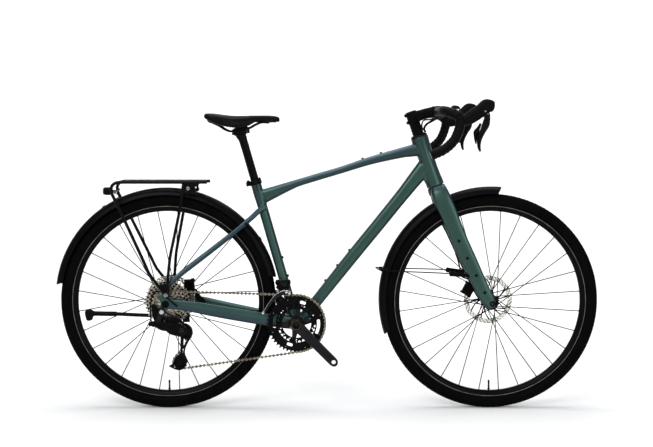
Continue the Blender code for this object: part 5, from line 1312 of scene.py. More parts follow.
def seatpost_piece():
    post = revolve("shaft", [(0, 0), (13.4, 0), (13.6, 0.6), (13.6, 160), (13.6, 258), (13.9, 266), (13.9, 275), (0, 275)], seat_line(603), SEAT_AXIS, 56)
    bm = bmesh.new()
    loft_bm(bm, smooth_stations([((-263.8, 0, 850), 13.6, 13.6), ((-267.4, 0, 862), 13.7, 13.8), ((-271.2, 0, 875), 13.9, 14.0), ((-274.6, 0, 885), 14.3, 15.2), ((-278.0, 0, 892.5), 14.8, 17.4), ((-279.6, 0, 899.0), 14.8, 19.2)], 5), 32, 2.3)
    head_piece = make("post_head", bm, 60)
    cradle = bmesh.new()
    box_bm(cradle, (-301.0, -15, 895), (-258.5, 15, 908.5), ((-280, 0, 901), "Y", -10.5))
    rod_bm(cradle, (-279.5, -17, 900.5), (-279.5, 17, 900.5), 9.5, sides=32)
    lower = fine("seatpost_body", [post, head_piece, rounded(make("c", cradle), 1.4)], 0.9, 2, 0.5)
    keep(lower, "seatpost", BLACK_SMOOTH, ("seatpost",))
    grip = bmesh.new()
    for k in range(9):
        revolve_bm(grip, [(13.55, 0), (13.78, 0.25), (13.78, 0.7), (13.55, 0.95)], seat_line(752 + 3.0 * k), SEAT_AXIS, 56, closed=True)
    keep(make("seatpost_height_rings", grip, 30), "seatpost", BLACK_SMOOTH)
    # The upper clamp: two ears on the rails' outsides, joined over the cradle.
    ears = []
    for side in (-1, 1):
        outline = [(-280 + 26 * math.cos(t) * (1 + 0.06 * math.sin(t)), 911.6 + 10.4 * math.sin(t) + 4.8 * math.cos(t)) for t in (2 * math.pi * k / 36 for k in range(36))]
        ears.append(plate("ear", outline, min(side * 26.2, side * 29.0), max(side * 26.2, side * 29.0), [], 0.7))
        saddle_side = bmesh.new()
        loft_bm(saddle_side, [((-280, side * 15, 907.5), 18, 4.2), ((-280, side * 20, 909.5), 20, 6.2), ((-280, side * 27.5, 911.4), 22, 6.6)], 28, 3.0)
        ears.append(make("wing", saddle_side, 40))
    bridge = bmesh.new()
    box_bm(bridge, (-308, -15, 904.5), (-250.5, 15, 914.5), ((-280, 0, 909), "Y", -10.5))
    clamp = fine("saddle_clamp_plates", ears + [rounded(make("b", bridge), 2.0)], 0.8, 1, 0.5)
    keep(clamp, "seatpost", BLACK, ("saddle_clamp",))
    for k, (x, z) in enumerate(((-304.5, 898.5), (-254.4, 905.0))):
        rods = bmesh.new()
        rod_bm(rods, (x, 0, z), (x + 0.3, 0, 911), 2.6, sides=20)
        rod_bm(rods, (x, -9, 908.0), (x, 9, 908.0), 3.8, sides=24)
        keep(rounded(make(f"saddle_bolt_shank_{k}", rods), 0.5), "seatpost", BLACK_SCREW)
        bolt(f"saddle_bolt_{k}", (x, 0, z + 1.0), (0, 0, -1), 4.3, 5.6, "seatpost", BLACK_SCREW)


def saddle_pieces():
    right = [(-378, -38, 938), (-362, -36, 931), (-344, -31, 922), (-327, -25.5, 911), (-309, -22, 905.9), (-280, -22, 911.3), (-252, -22, 916.5), (-234, -21, 926), (-216, -18, 934), (-204, -13, 935), (-192, -6, 934.2)]
    rail = tube("saddle_rail_wire", right + [(-189.5, 0, 934.2)] + [(x, -y, z) for x, y, z in reversed(right)], 3.5, 8, 20)
    keep(rail, "seatpost", BLACK_SMOOTH, ("saddle_rails",))
    rows = [(-154, 943.5, 10, 5.5), (-158, 945, 14, 7.3), (-165, 946, 17, 8.5), (-182, 946.8, 19, 8.6), (-200, 947.2, 21, 8.7), (-216, 946.9, 24, 8.9), (-232, 946.3, 28, 9.3), (-244, 944.2, 31.8, 11.3), (-255, 941.2, 36, 13.7),
            (-267, 938.7, 42, 15.9), (-280, 936.8, 48, 17.5), (-292, 936.6, 54, 17.8), (-305, 937, 60, 17.8), (-318, 938.4, 65, 17.5), (-330, 940.4, 69, 16.9), (-341, 942.6, 71.8, 16.2), (-350, 944.7, 73.5, 15.4), (-360, 947.2, 73.6, 14.0),
            (-368, 949.5, 73, 12.5), (-376, 952, 70.6, 10.8), (-383, 954.4, 67, 8.9), (-389, 955.5, 61, 6.9), (-393, 955.7, 52, 4.5)]
    bm = bmesh.new()
    rings, count = [], 72
    for x, z, wide, half in rows:
        roof = z + half - 16.5
        wide, half = wide - 0.4, half + 0.2
        ring = []
        for k in range(count):
            t = 2 * math.pi * (k + 0.5) / count
            c, s = math.cos(t), math.sin(t)
            y = wide * math.copysign(abs(c) ** 0.7, c)
            if s >= 0:
                relief = 1.6 * math.exp(-(y / 9.0) ** 2) * min(1.0, max(0.0, (-x - 185) / 50))
                h = z + half * (abs(s) ** 0.66) - relief
            else:
                h = z - half * (abs(s) ** 0.16) - 3.2 * min(1.0, max(0.0, (-x - 232) / 22))
                if roof > h:
                    f = min(1.0, max(0.0, (wide - 9.0 - abs(y)) / 7.0))
                    h += (roof - h) * f * f * (3 - 2 * f)
            ring.append(bm.verts.new(Vector((x, y, h)) * MM))
        rings.append(ring)
    for low, high in zip(rings, rings[1:]):
        for k in range(count):
            m = (k + 1) % count
            bm.faces.new((low[k], low[m], high[m], high[k]))
    bm.faces.new(rings[0])
    bm.faces.new(rings[-1])
    pad = make("saddle_cover", bm, 80)
    pad = puffed(pad, 2.8, 1.0, ((-396, -74.5, 918.0), (-152.5, 74.5, 963.6)))
    keep(pad, "seatpost", SADDLE_SKIN, ("saddle",))
    # The moulded shell under the cover, with its lip, sockets for the rails and a stiffening keel.
    shell = bmesh.new()
    loft_bm(shell, [((x, 0, z + half - 18.0), max(wide * 0.8, wide - 11.0) - 2.0, 2.6) for x, z, wide, half in rows[2:-3]], 40, 3.0)
    sockets = [make("s", shell, 60)]
    nose = loft("n", [((-166, 0, 939.5), 8, 3.0), ((-176, 0, 938.5), 11, 4.0), ((-192, 0, 938.0), 13, 4.4), ((-212, 0, 938.5), 19, 4.5), ((-222, 0, 940), 20, 3.0)], 28, 3.0)
    sockets.append(nose)
    for side in (-1, 1):
        sockets.append(loft("k", [((-346, side * 33, 944), 7.5, 4.0), ((-362, side * 36, 938.5), 8, 7.5), ((-376, side * 38, 940), 8.5, 7.0), ((-382, side * 38, 945), 7.0, 4.0)], 24, 3.0))
        sockets.append(loft("w", [((-252, side * 17, 935), 2.0, 3.0), ((-290, side * 30, 934), 2.4, 3.6), ((-330, side * 44, 937), 2.2, 3.4), ((-356, side * 50, 942), 2.0, 2.4)], 16, 2.2))
    base = fine("saddle_shell", sockets, 1.3, 2, 0.4)
    keep(base, "seatpost", PLASTIC)


def puffed(obj, voxel, cap, limits):
    """A cushion's cover blown out a little over its foam by a short cloth run, then smoothed once."""
    remesh = obj.modifiers.new("grid", "REMESH")
    remesh.mode = "VOXEL"
    remesh.voxel_size = voxel * MM
    obj = baked(obj)
    start = [v.co.copy() for v in obj.data.vertices]
    scene = bpy.context.scene
    cloth = obj.modifiers.new("cloth", "CLOTH")
    cloth.settings.quality = 5
    cloth.settings.use_pressure = True
    cloth.settings.uniform_pressure_force = 3.0
    cloth.settings.effector_weights.gravity = 0.0
    cloth.settings.tension_stiffness = 25.0
    cloth.point_cache.frame_end = 14
    for f in range(1, 15):
        scene.frame_set(f)
    obj = baked(obj)
    scene.frame_set(1)
    for v, was in zip(obj.data.vertices, start):
        move = v.co - was
        if move.length > cap * MM:
            v.co = was + move.normalized() * cap * MM
    bm = bmesh.new()
    bm.from_mesh(obj.data)
    for _ in range(2):
        bmesh.ops.smooth_vert(bm, verts=bm.verts[:], factor=0.5, use_axis_x=True, use_axis_y=True, use_axis_z=True)
    bm.normal_update()
    for v, n in [(v, v.normal.copy()) for v in bm.verts]:
        v.co += n * 0.9 * MM
    bm.to_mesh(obj.data)
    bm.free()
    low, high = limits
    for v in obj.data.vertices:
        v.co = [min(max(c, a * MM), b * MM) for c, a, b in zip(v.co, low, high)]
    sub = obj.modifiers.new("sub", "SUBSURF")
    sub.levels = sub.render_levels = 1
    obj = baked(obj)
    obj.data.shade_smooth()
    return obj


def seat_clamp_piece():
    ring = revolve("ring", [(13.9, 0), (19.4, 0), (20.5, 1.2), (20.5, 12.8), (19.6, 14.3), (14.6, 14.3), (13.9, 13.4)], seat_line(733.2), SEAT_AXIS, 56, closed=True)
    lug = bmesh.new()
    box_bm(lug, (-263.5, -8, 734.5), (-246.5, 8, 746.5), ((seat_x(742), 0, 742), "Y", -16))
    rod_bm(lug, (-255.5, -8, 741), (-255.5, 8, 741), 6.4, sides=28)
    nub = bmesh.new()
    box_bm(nub, (-221, -5, 744.5), (-214.5, 5, 757), ((-218, 0, 750), "Y", -16))
    collar = merge("seat_clamp_collar", ring, rounded(make("l", lug), 1.0), rounded(make("n", nub), 1.0))
    keep(collar, "frame", BLACK_SMOOTH, ("seat_clamp",))
    bolt("seat_clamp_bolt", (-255.5, -7.4, 741), (0, -1, 0), 3.7, 3.2, "frame", BLACK_SCREW)
    slit = bmesh.new()
    a = seat_line(735)
    loft_bm(slit, [((a[0] + 2.5, -17.6, 732), 0.7, 1.1), ((a[0] + 5.0, -17.3, 722), 0.7, 1.1), ((a[0] + 7.5, -17.2, 712), 0.6, 1.0)], 12, 2.0)
    keep(make("seat_tube_slit", slit, 60), "frame", PLASTIC)


# ---------------------------------------------------------------- head and stem
HEAD_AXIS = Vector((HEAD_DIR[0], 0.0, HEAD_DIR[1]))


def stem_pieces():
    profile = [(16.3, 168.6), (27.6, 168.6), (28.4, 169.6), (27.8, 171.4), (23.2, 175.4), (21.6, 176.2), (18.3, 176.9)]
    s = 177.0
    for tall in (10.0, 10.0, 10.0, 7.4):
        profile += [(17.5, s), (18.2, s + 0.5), (18.2, s + tall - 0.5), (17.5, s + tall)]
        s += tall + 0.02
    profile += [(16.3, 214.5)]
    cover = revolve("headset_cover_and_spacer_rings", profile, (HEAD_FOOT[0], 0.0, HEAD_FOOT[1]), HEAD_AXIS, 64, closed=True, sharp=28)
    keep(cover, "steering", BLACK_SMOOTH, ("headset_cover_and_spacers",))
    a = Vector(head(235.0))
    body = [revolve("clamp", [(0, 213.8), (18.2, 213.8), (19.0, 214.6), (19.0, 250.6), (18.0, 251.6), (0, 251.6)], (HEAD_FOOT[0], 0, HEAD_FOOT[1]), HEAD_AXIS, 56)]
    body.append(loft("run", [((a.x + 2, 0, a.z - 0.5), 17, 18.6), ((a.x + 24, 0, a.z + 6.2), 15.8, 17.4), ((a.x + 45, 0, a.z + 12.4), 15.6, 17.0), ((a.x + 62, 0, a.z + 15.4), 17, 18.0), ((BAR[0] - 8, 0, BAR[1] + 1.0), 20.2, 19.6)], 32, 3.4))
    lugs = bmesh.new()
    for lean in (222.5, 246.5):
        p, q = head(lean, -16.5), head(lean, -23.5)
        for side in (-1, 1):
            loft_bm(lugs, [((p[0], side * 6.2, p[2]), 5.0, 6.4), ((q[0], side * 5.6, q[2]), 4.4, 5.2)], 20, 2.6)
    body.append(make("lugs", lugs, 50))
    rod = bmesh.new()
    rod_bm(rod, (BAR[0] - 2.2, -20.6, BAR[1]), (BAR[0] - 2.2, 20.6, BAR[1]), 19.6, sides=48)
    body.append(make("seat", rod, 50))
    main = fine("stem_body", body, 0.9, 3, 0.45)
    keep(main, "steering", BLACK, ("stem",))
    ring = []
    for r, flip in ((16.4, False), (20.4, True)):
        row = [(BAR[0] + r * math.cos(math.radians(d)), BAR[1] + r * math.sin(math.radians(d))) for d in range(-74, 75, 4)]
        ring += row[::-1] if flip else row
    plate_piece = plate("stem_face_plate", ring, -20.6, 20.6, [], 0.8)
    keep(plate_piece, "steering", BLACK_SMOOTH)
    for k, (y, up) in enumerate(((-13, 1), (13, 1), (-13, -1), (13, -1))):
        bolt(f"face_bolt_{k}", (BAR[0] + 14.4, y, BAR[1] + up * 14.8), (0.82, 0, up * 0.45), 3.6, 3.4, "steering", BLACK_SCREW)
    for k, lean in enumerate((222.5, 246.5)):
        p = head(lean, -21.5)
        bolt(f"stem_side_bolt_{k}", (p[0], -8.6 if k else 8.6, p[2]), (0, -1 if k else 1, 0), 3.6, 3.0, "steering", BLACK_SCREW)
        q = head(lean, -21.5)
        pin = bmesh.new()
        rod_bm(pin, (q[0], -8, q[2]), (q[0], 8, q[2]), 2.4, sides=20)
        keep(rounded(make(f"stem_side_shank_{k}", pin), 0.4), "steering", BLACK_SCREW)
    cap = revolve("stem_top_cap", [(0, 251.4), (17.0, 251.4), (17.6, 252.2), (17.2, 253.6), (14.5, 255.0), (5.2, 255.4), (4.8, 254.0), (0, 254.0)], (HEAD_FOOT[0], 0, HEAD_FOOT[1]), HEAD_AXIS, 56)
    keep(cap, "steering", BLACK_SMOOTH)
    bolt("stem_cap_bolt", head(253.2), tuple(HEAD_AXIS), 4.0, 2.0, "steering", BLACK_SCREW)


HALF_BAR = [(357.9, 62, 968.5), (357.9, 110, 968.5), (358.5, 150, 968.3), (362, 183, 967.3), (375, 205, 963.5), (394, 215.5, 955.5), (407, 219.5, 941), (405.5, 221.5, 921), (399.5, 223.5, 901), (389, 226, 879),
            (371, 228.5, 860), (350.3, 230.5, 845.5), (331, 231.9, 837.0), (316.0, 232.7, 831.4)]


def wrapped(name, points, low, high, pitch, turn):
    """Tape wound round a bar: each turn starts proud over the one before and sinks towards the next."""
    dense = smooth_path(points, 40)
    path, left = [dense[0]], 0.0
    for a, b in zip(dense, dense[1:]):
        left += (b - a).length
        if left >= 1.25:
            path.append(b)
            left = 0.0
    bm = bmesh.new()
    side, travel, rings, count = None, 0.0, [], 30
    for i, p in enumerate(path):
        along = (path[min(i + 1, len(path) - 1)] - path[max(i - 1, 0)]).normalized()
        side = (side - along * side.dot(along)).normalized() if side is not None else along.orthogonal().normalized()
        other = along.cross(side)
        travel += (p - path[i - 1]).length if i else 0.0
        ring = []
        for k in range(count):
            t = 2 * math.pi * k / count
            f = (travel / pitch + turn * k / count) % 1.0
            r = high - (high - low) * (f ** 0.8) if f > 0.10 else low + (high - low) * (f / 0.10)
            r += 0.18 * noise.noise(p * 0.05 + Vector((math.cos(t), math.sin(t), 0)) * 1.3)
            ring.append(bm.verts.new((p + (side * math.cos(t) + other * math.sin(t)) * min(r, 16.2)) * MM))
        rings.append(ring)
    for a, b in zip(rings, rings[1:]):
        for k in range(count):
            m = (k + 1) % count
            bm.faces.new((a[k], a[m], b[m], b[k]))
    bm.faces.new(rings[0])
    bm.faces.new(rings[-1])
    return make(name, bm, 50)


def bar_pieces():
    mirrored = [(x, -y, z) for x, y, z in reversed(HALF_BAR)]
    path = mirrored + [(357.9, 0, 968.5)] + HALF_BAR
    bar = tube("bar", path, 11.6, 6, 28)
    centre = revolve("centre", [(0, -63), (12.0, -63), (15.2, -52), (15.9, -44), (15.9, 44), (15.2, 52), (12.0, 63), (0, 63)], (BAR[0], 0, BAR[1]), (0, 1, 0), 56)
    keep(merge("drop_handlebar", bar, centre), "steering", BLACK_SMOOTH, ("handlebar",))
    for sign, tag in ((-1, "right"), (1, "left")):
        pts = [(BAR[0], sign * 75, BAR[1])] + [(x, sign * y, z) for x, y, z in HALF_BAR[1:]]
        keep(wrapped(f"bar_tape_wrap_{tag}", pts, 14.6, 16.15, 13.0, -sign), "steering", TAPE, (f"bar_tape_{tag}",))
        band = revolve(f"tape_end_band_{tag}", [(12.2, 0), (15.2, 0), (15.6, 0.6), (15.6, 11.4), (15.2, 12), (12.2, 12)], (BAR[0], sign * 71, BAR[1]), (0, sign, 0), 40, closed=True)
        keep(band, "steering", PLASTIC)
        a, b = Vector(pts[-2]), Vector(pts[-1])
        plug = revolve(f"bar_end_plug_{tag}", [(0, -1.5), (14.4, -1.5), (15.6, -0.6), (15.9, 0.8), (15.0, 2.2), (11.5, 3.2), (10.8, 2.6), (4.0, 2.6), (3.4, 3.4), (0, 3.6)], tuple(b - (b - a).normalized() * 3.2), tuple(b - a), 40)
        keep(plug, "steering", PLASTIC)


def control_pieces():
    for sign, tag in ((-1, "right"), (1, "left")):
        y = sign * 218.0
        hood = loft("h", [((409, y, 934), 12.4, 14.2), ((413, y, 936), 14.6, 16.6), ((417.5, y, 938), 13.4, 16.4), ((432, y, 943), 14.5, 19), ((452, y, 956), 15, 20.5), ((470, y, 968.5), 15, 20.5), ((486, y, 979.5), 14.5, 23.4), ((499, y, 983.2), 12.8, 19.6), ((508.0, y, 985), 9.2, 14), ((512.0, y, 985.2), 4.8, 7.6)], 36, 2.5, 5)
        slot = bmesh.new()
        box_bm(slot, (479, y - 9, 926), (522, y + 9, 964))
        slot = make("slot", slot)
        cut = hood.modifiers.new("slot", "BOOLEAN")
        cut.operation, cut.object, cut.solver = "DIFFERENCE", slot, "EXACT"
        hood = baked(hood)
        bpy.data.objects.remove(slot, do_unlink=True)
        hood.name = f"hood_cover_{tag}"
        hood.data.shade_smooth()
        hood.data.set_sharp_from_angle(angle=math.radians(42))
        keep(hood, "steering", HOOD, (f"lever_hood_{tag}",))
        rib = bmesh.new()
        for k in range(7):
            f = k / 6
            loft_bm(rib, [((424 + 34 * f, y - sign * 9, 960.5 + 16.3 * f), 0.9, 0.7), ((425 + 34 * f, y, 963.4 + 15.6 * f), 1.0, 0.7), ((424 + 34 * f, y + sign * 9, 960.5 + 16.3 * f), 0.9, 0.7)], 8, 2.0)
        keep(make(f"hood_grip_ribs_{tag}", rib, 60), "steering", HOOD)
        bracket = loft(f"lever_bracket_{tag}", [((476, y, 951), 8.2, 9), ((486, y, 959.5), 8.4, 7.5), ((493, y, 966), 8.0, 4.5)], 24, 3.2)
        keep(bracket, "steering", BLACK_SMOOTH)
        bolt(f"hood_screw_{tag}", (481.5, y + sign * 14.0, 965.5), (0, sign, 0), 3.0, 2.2, "steering", BRASS)
        low = [((490.5, y, 960.5), 7.5, 7), ((489.4, y, 945), 8.2, 9.4), ((484.6, y * 1.005, 925), 8.2, 11.6), ((475.5, y * 1.012, 905), 8.5, 9), ((468.2, y * 1.016, 890), 8.5, 8.6), ((464.2, y * 1.02, 872), 8, 6.5), ((464.5, y * 1.022, 856), 7.5, 5), ((468.2, y * 1.024, 843.5), 6, 3)]
        lever = loft(f"brake_lever_blade_{tag}", low, 28, 2.6, 6)
        keep(lever, f"brake_lever_{tag}", BLACK_SMOOTH, (f"brake_lever_{tag}",))
        pin = revolve(f"lever_pivot_{tag}", [(0, -8.6), (2.6, -8.6), (3.0, -8.2), (3.0, 8.2), (2.6, 8.6), (0, 8.6)], (490, y, 959), (0, 1, 0), 24)
        keep(pin, f"brake_lever_{tag}", SCREW)
        blade = loft(f"shift_paddle_blade_{tag}", [((469.2, y * 1.0, 929), 3.5, 3.4), ((463.0, y * 0.997, 915), 5, 5.6), ((456.6, y * 0.99, 903), 6.5, 8.4), ((454.4, y * 0.988, 893), 6, 6.2), ((454.6, y * 0.985, 880), 5, 4.2), ((455.8, y * 0.98, 867), 4, 1.8)], 20, 2.8, 6)
        keep(blade, f"shift_paddle_{tag}", BLACK_SMOOTH, (f"shift_paddle_{tag}",))
    hoses = []
    for side in (-1, 1):
        hoses.append(tube("hose", [(370, side * 82, 955.0), (360, side * 66, 950), (351.7, side * 50, 946.5), (334.6, side * 32, 936.7), (323.5, side * 21, 929.5), (316.5, side * 13, 920.0), (314.5, side * 9, 909)], 2.9, 10, 16))
    clip = bmesh.new()
    rod_bm(clip, (317.9, -12, 906.6), (317.9, 12, 906.6), 3.6, sides=24)
    hoses.append(rounded(make("clip", clip), 0.8))
    keep(merge("brake_hoses_and_clip", *hoses), "steering", CABLE, ("control_hoses",))
    shift = tube("shift_cable", [(356, -66, 957), (345, -52, 947), (329.8, -34, 944), (317, -22, 942.9), (309, -15, 937.6), (306.5, -11, 925), (309.5, -10, 911)], 2.2, 10, 14)
    keep(shift, "steering", CABLE)
    shift = tube("shift_cable_left", [(356, 66, 957), (345, 52, 947), (331.8, 34, 944), (319, 22, 942.9), (311, 15, 937.6), (308.5, 11, 925), (310.5, 10, 911)], 2.2, 10, 14)
    keep(shift, "steering", CABLE)
    # A small bell on the bar, left of the stem.
    dome = revolve("bell_dome", [(0, 12.0), (5.5, 11.6), (10.5, 10.2), (13.8, 7.4), (15.2, 3.6), (15.4, 0.6), (14.6, 0.6), (14.0, 3.4), (12.4, 6.4), (0, 8.4)], (421.5, 52, 979.5), (0.12, 0, 1), 56)
    keep(dome, "steering", BLACK_SMOOTH)
    stalk = bmesh.new()
    rod_bm(stalk, (421.5, 52, 974), (422.2, 52, 988), 3.0, sides=20)
    loft_bm(stalk, smooth_stations([((421.5, 52, 976), 5.5, 2.6), ((404, 52, 974.5), 5.0, 2.6), ((384, 52, 971.5), 5.5, 4.0), ((373, 52, 968.5), 6.5, 7.0)], 4), 20, 2.6)
    revolve_bm(stalk, [(15.8, -6), (18.6, -6), (18.9, -5), (18.9, 5), (18.6, 6), (15.8, 6)], (BAR[0], 52, BAR[1]), (0, 1, 0), 48, closed=True)
    keep(make("bell_bracket", stalk, 40), "steering", PLASTIC)


seatpost_piece()
saddle_pieces()
seat_clamp_piece()
stem_pieces()
bar_pieces()
control_pieces()

# ------------------------------------------------------------------- fenders
LENS = Mat("red_lens")
lens_rib = LENS.n("ShaderNodeTexWave", wave_type="BANDS", bands_direction="Z")
lens_rib.inputs["Scale"].default_value = 260.0
LENS.link(LENS.co.outputs["Object"], lens_rib.inputs["Vector"])
LENS.set(Base_Color=LENS.mix(LENS.noise(90.0), srgb(120, 12, 14), srgb(176, 20, 22)), Roughness=LENS.span(LENS.noise(700.0), 0.3, 0.7, 0.10, 0.2), Coat_Weight=0.5, Coat_Roughness=0.08,
         Normal=LENS.bump(lens_rib.outputs["Fac"], 0.3, 0.0004))
RACK = plain("rack_powder", srgb(3, 3, 3), srgb(6, 6, 7), 0.36, 0.1, grain=1600.0, bump=0.06, spec=0.10)
FOOT = rubber("kickstand_rubber", srgb(4, 4, 4), srgb(7, 7, 8), 0.8, pattern="diamonds", scale=260.0, strength=0.3, distance=0.0008)
SLEEVE = plain("black_leg", srgb(4, 4, 4), srgb(8, 8, 9), 0.33, 0.4, grain=1500.0, bump=0.04, spec=0.10)


def fender_piece(tag, centre, radius, deg0, deg1, body, node):
    """A moulded arch: rolled edges, a shallow raised crown and rounded ends."""
    outer = []
    for k in range(25):
        u = -1.0 + 2.0 * k / 24
        y = 26.2 * u
        r = radius - 0.3 - 16.2 * abs(u) ** 3.2 - (0.9 if abs(u) > 0.38 else 0.9 * (abs(u) / 0.38) ** 4)
        outer.append((r, y))
    outer = [(outer[0][0] - 5.0, -26.4)] + outer + [(outer[-1][0] - 5.0, 26.4)]
    inner = [(r - 1.7 if abs(y) < 26 else r, y * 0.955) for r, y in reversed(outer)]
    section = outer + [(outer[-1][0] - 1.0, 26.8), (outer[-1][0] - 1.8, 26.2)] + inner + [(outer[0][0] - 1.8, -26.2), (outer[0][0] - 1.0, -26.8)]
    steps = int((deg1 - deg0) / 1.2)
    bm = bmesh.new()
    rings = []
    for i in range(steps + 1):
        f = i / steps
        a = math.radians(deg0 + (deg1 - deg0) * f)
        gone = min(f, 1 - f) * math.radians(deg1 - deg0) * radius
        ring = []
        for r, y in section:
            # Rounded ends: the corners draw back along the arch.
            back = 0.0
            if gone < 26.0:
                back = (26.0 - gone) / 26.0 * 11.0 * (abs(y) / 27.0) ** 3
            q = a + (back / radius if f < 0.5 else -back / radius)
            ring.append(bm.verts.new(Vector((centre[0] + r * math.cos(q), y, centre[1] + r * math.sin(q))) * MM))
        rings.append(ring)
    n = len(section)
    for low, high in zip(rings, rings[1:]):
        for k in range(n):
            m = (k + 1) % n
            bm.faces.new((low[k], low[m], high[m], high[k]))
    half = len(outer)
    for ring in (rings[0], rings[-1]):
        top, bottom = ring[:half], ring[half + 2:2 * half + 2][::-1]
        for k in range(half - 1):
            bm.faces.new((top[k], top[k + 1], bottom[k + 1], bottom[k]))
        bm.faces.new((top[-1], ring[half], ring[half + 1], bottom[-1]))
        bm.faces.new((top[0], bottom[0], ring[-2], ring[-1]))
    piece = make(f"{tag}_fender_arch", bm, 45)
    keep(piece, body, FENDER, (node,))


def arch_point(centre, radius, degrees, y=0.0):
    a = math.radians(degrees)
    return Vector((centre[0] + radius * math.cos(a), y, centre[1] + radius * math.sin(a)))


REAR_FENDER, FRONT_FENDER = (-522.9, 359.6), (536.0, 360.0)
fender_piece("rear", REAR_FENDER, 365.0, 11.5, 172.5, "frame", "rear_fender")
fender_piece("front", FRONT_FENDER, 368.0, 85.2, 198.5, "steering", "front_fender")


def strap(name, centre, radius, degrees, body, wide=10.0):
    """A formed strap over an arch, held with a screw on each side."""
    bm = bmesh.new()
    path = []
    for k in range(25):
        u = -1.0 + 2.0 * k / 24
        r = radius + 1.2 - 16.2 * abs(u) ** 3.2
        path.append((tuple(arch_point(centre, r, degrees, 26.6 * u)), wide / 2, 0.8))
    rings = []
    a = math.radians(degrees)
    along = Vector((-math.sin(a), 0, math.cos(a)))
    out = Vector((math.cos(a), 0, math.sin(a)))
    for p, w, h in path:
        p = Vector(p)
        rings.append([bm.verts.new((p + along * u * w + out * v * h) * MM) for u, v in ((-1, -0.6), (-0.85, 1), (0.85, 1), (1, -0.6))])
    for low, high in zip(rings, rings[1:]):
        for k in range(4):
            m = (k + 1) % 4
            bm.faces.new((low[k], low[m], high[m], high[k]))
    bm.faces.new(rings[0])
    bm.faces.new(rings[-1])
    keep(make(name, bm, 40), body, RACK)
    for side in (-1, 1):
        p = arch_point(centre, radius - 7.0, degrees, side * 26.6)
        bolt(f"{name}_screw_{'l' if side > 0 else 'r'}", tuple(p), (0, side, 0), 2.7, 1.6, body, BLACK_SCREW)


strap("front_fender_strap", FRONT_FENDER, 368.0, 164.2, "steering")
for k, deg in enumerate((33.0, 124.0)):
    p = arch_point(REAR_FENDER, 365.4, deg)
    bolt(f"rear_fender_bolt_{k}", tuple(p), (math.cos(math.radians(deg)), 0, math.sin(math.radians(deg))), 4.2, 1.8, "frame", BLACK_SCREW, flange=7.0)


# -------------------------------------------------- wire stay of the front fender
def stay_piece():
    near = [(452.5, -58, 442.5), (430, -57.5, 445), (380, -56, 449.5), (316, -51.5, 452.2), (253, -46, 454), (215, -38, 455.2), (190, -33, 455.5), (174, -30.5, 457.5), (165.5, -24, 460.2), (161.2, -14, 462.0), (160.0, -4, 462.4)]
    wire = tube("front_fender_stay_wire", near + [(x, -y, z) for x, y, z in reversed(near)], 2.0, 6, 16)
    keep(wire, "steering", BLACK_SMOOTH, ("front_fender_stay",))
    for side, tag in ((-1, "right"), (1, "left")):
        holder = [loft("a", [((394, side * 57.0, 448.6), 3.2, 3.4), ((398, side * 57.0, 448.2), 5.0, 8.2), ((406, side * 57.2, 447.4), 5.2, 7.8), ((430, side * 57.8, 445.0), 5.2, 6.6), ((458, side * 58.4, 441.8), 5.2, 6.2), ((468, side * 58.2, 440.6), 4.0, 5.0)], 20, 2.6)]
        eye = revolve("e", [(0, -4.2), (6.0, -4.2), (6.8, -3.4), (6.8, 3.4), (6.0, 4.2), (0, 4.2)], (468, side * 58.6, 440.0), (0, 1, 0), 28)
        keep(merge(f"stay_holder_{tag}", *holder, eye), "steering", PLASTIC)
        bolt(f"stay_bolt_{tag}", (468, side * 62.6, 440.0), (0, side, 0), 3.8, 2.6, "steering", BLACK_SCREW)
        clip = loft(f"fender_clip_{tag}", [((192, side * 32.6, 455.5), 3.4, 3.8), ((182, side * 31.4, 456.6), 3.8, 4.8), ((172, side * 29.2, 458.4), 3.4, 4.2)], 20, 2.8)
        keep(clip, "steering", PLASTIC)


stay_piece()


# ---------------------------------------------------------------------- rack
def flat_plate(name, outline, z_low, z_high, holes=(), bevel=0.6):
    piece = plate(name, outline, z_low, z_high, holes, bevel)
    piece.data.transform(Matrix(((1, 0, 0, 0), (0, 0, 1, 0), (0, 1, 0, 0), (0, 0, 0, 1))))
    piece.data.flip_normals()
    return piece


def pill(x0, x1, y, half, count=8):
    pts = []
    for k in range(count + 1):
        t = -math.pi / 2 + math.pi * k / count
        pts.append((x1 - half + half * math.cos(t), y + half * math.sin(t)))
    for k in range(count + 1):
        t = math.pi / 2 + math.pi * k / count
        pts.append((x0 + half + half * math.cos(t), y + half * math.sin(t)))
    return pts


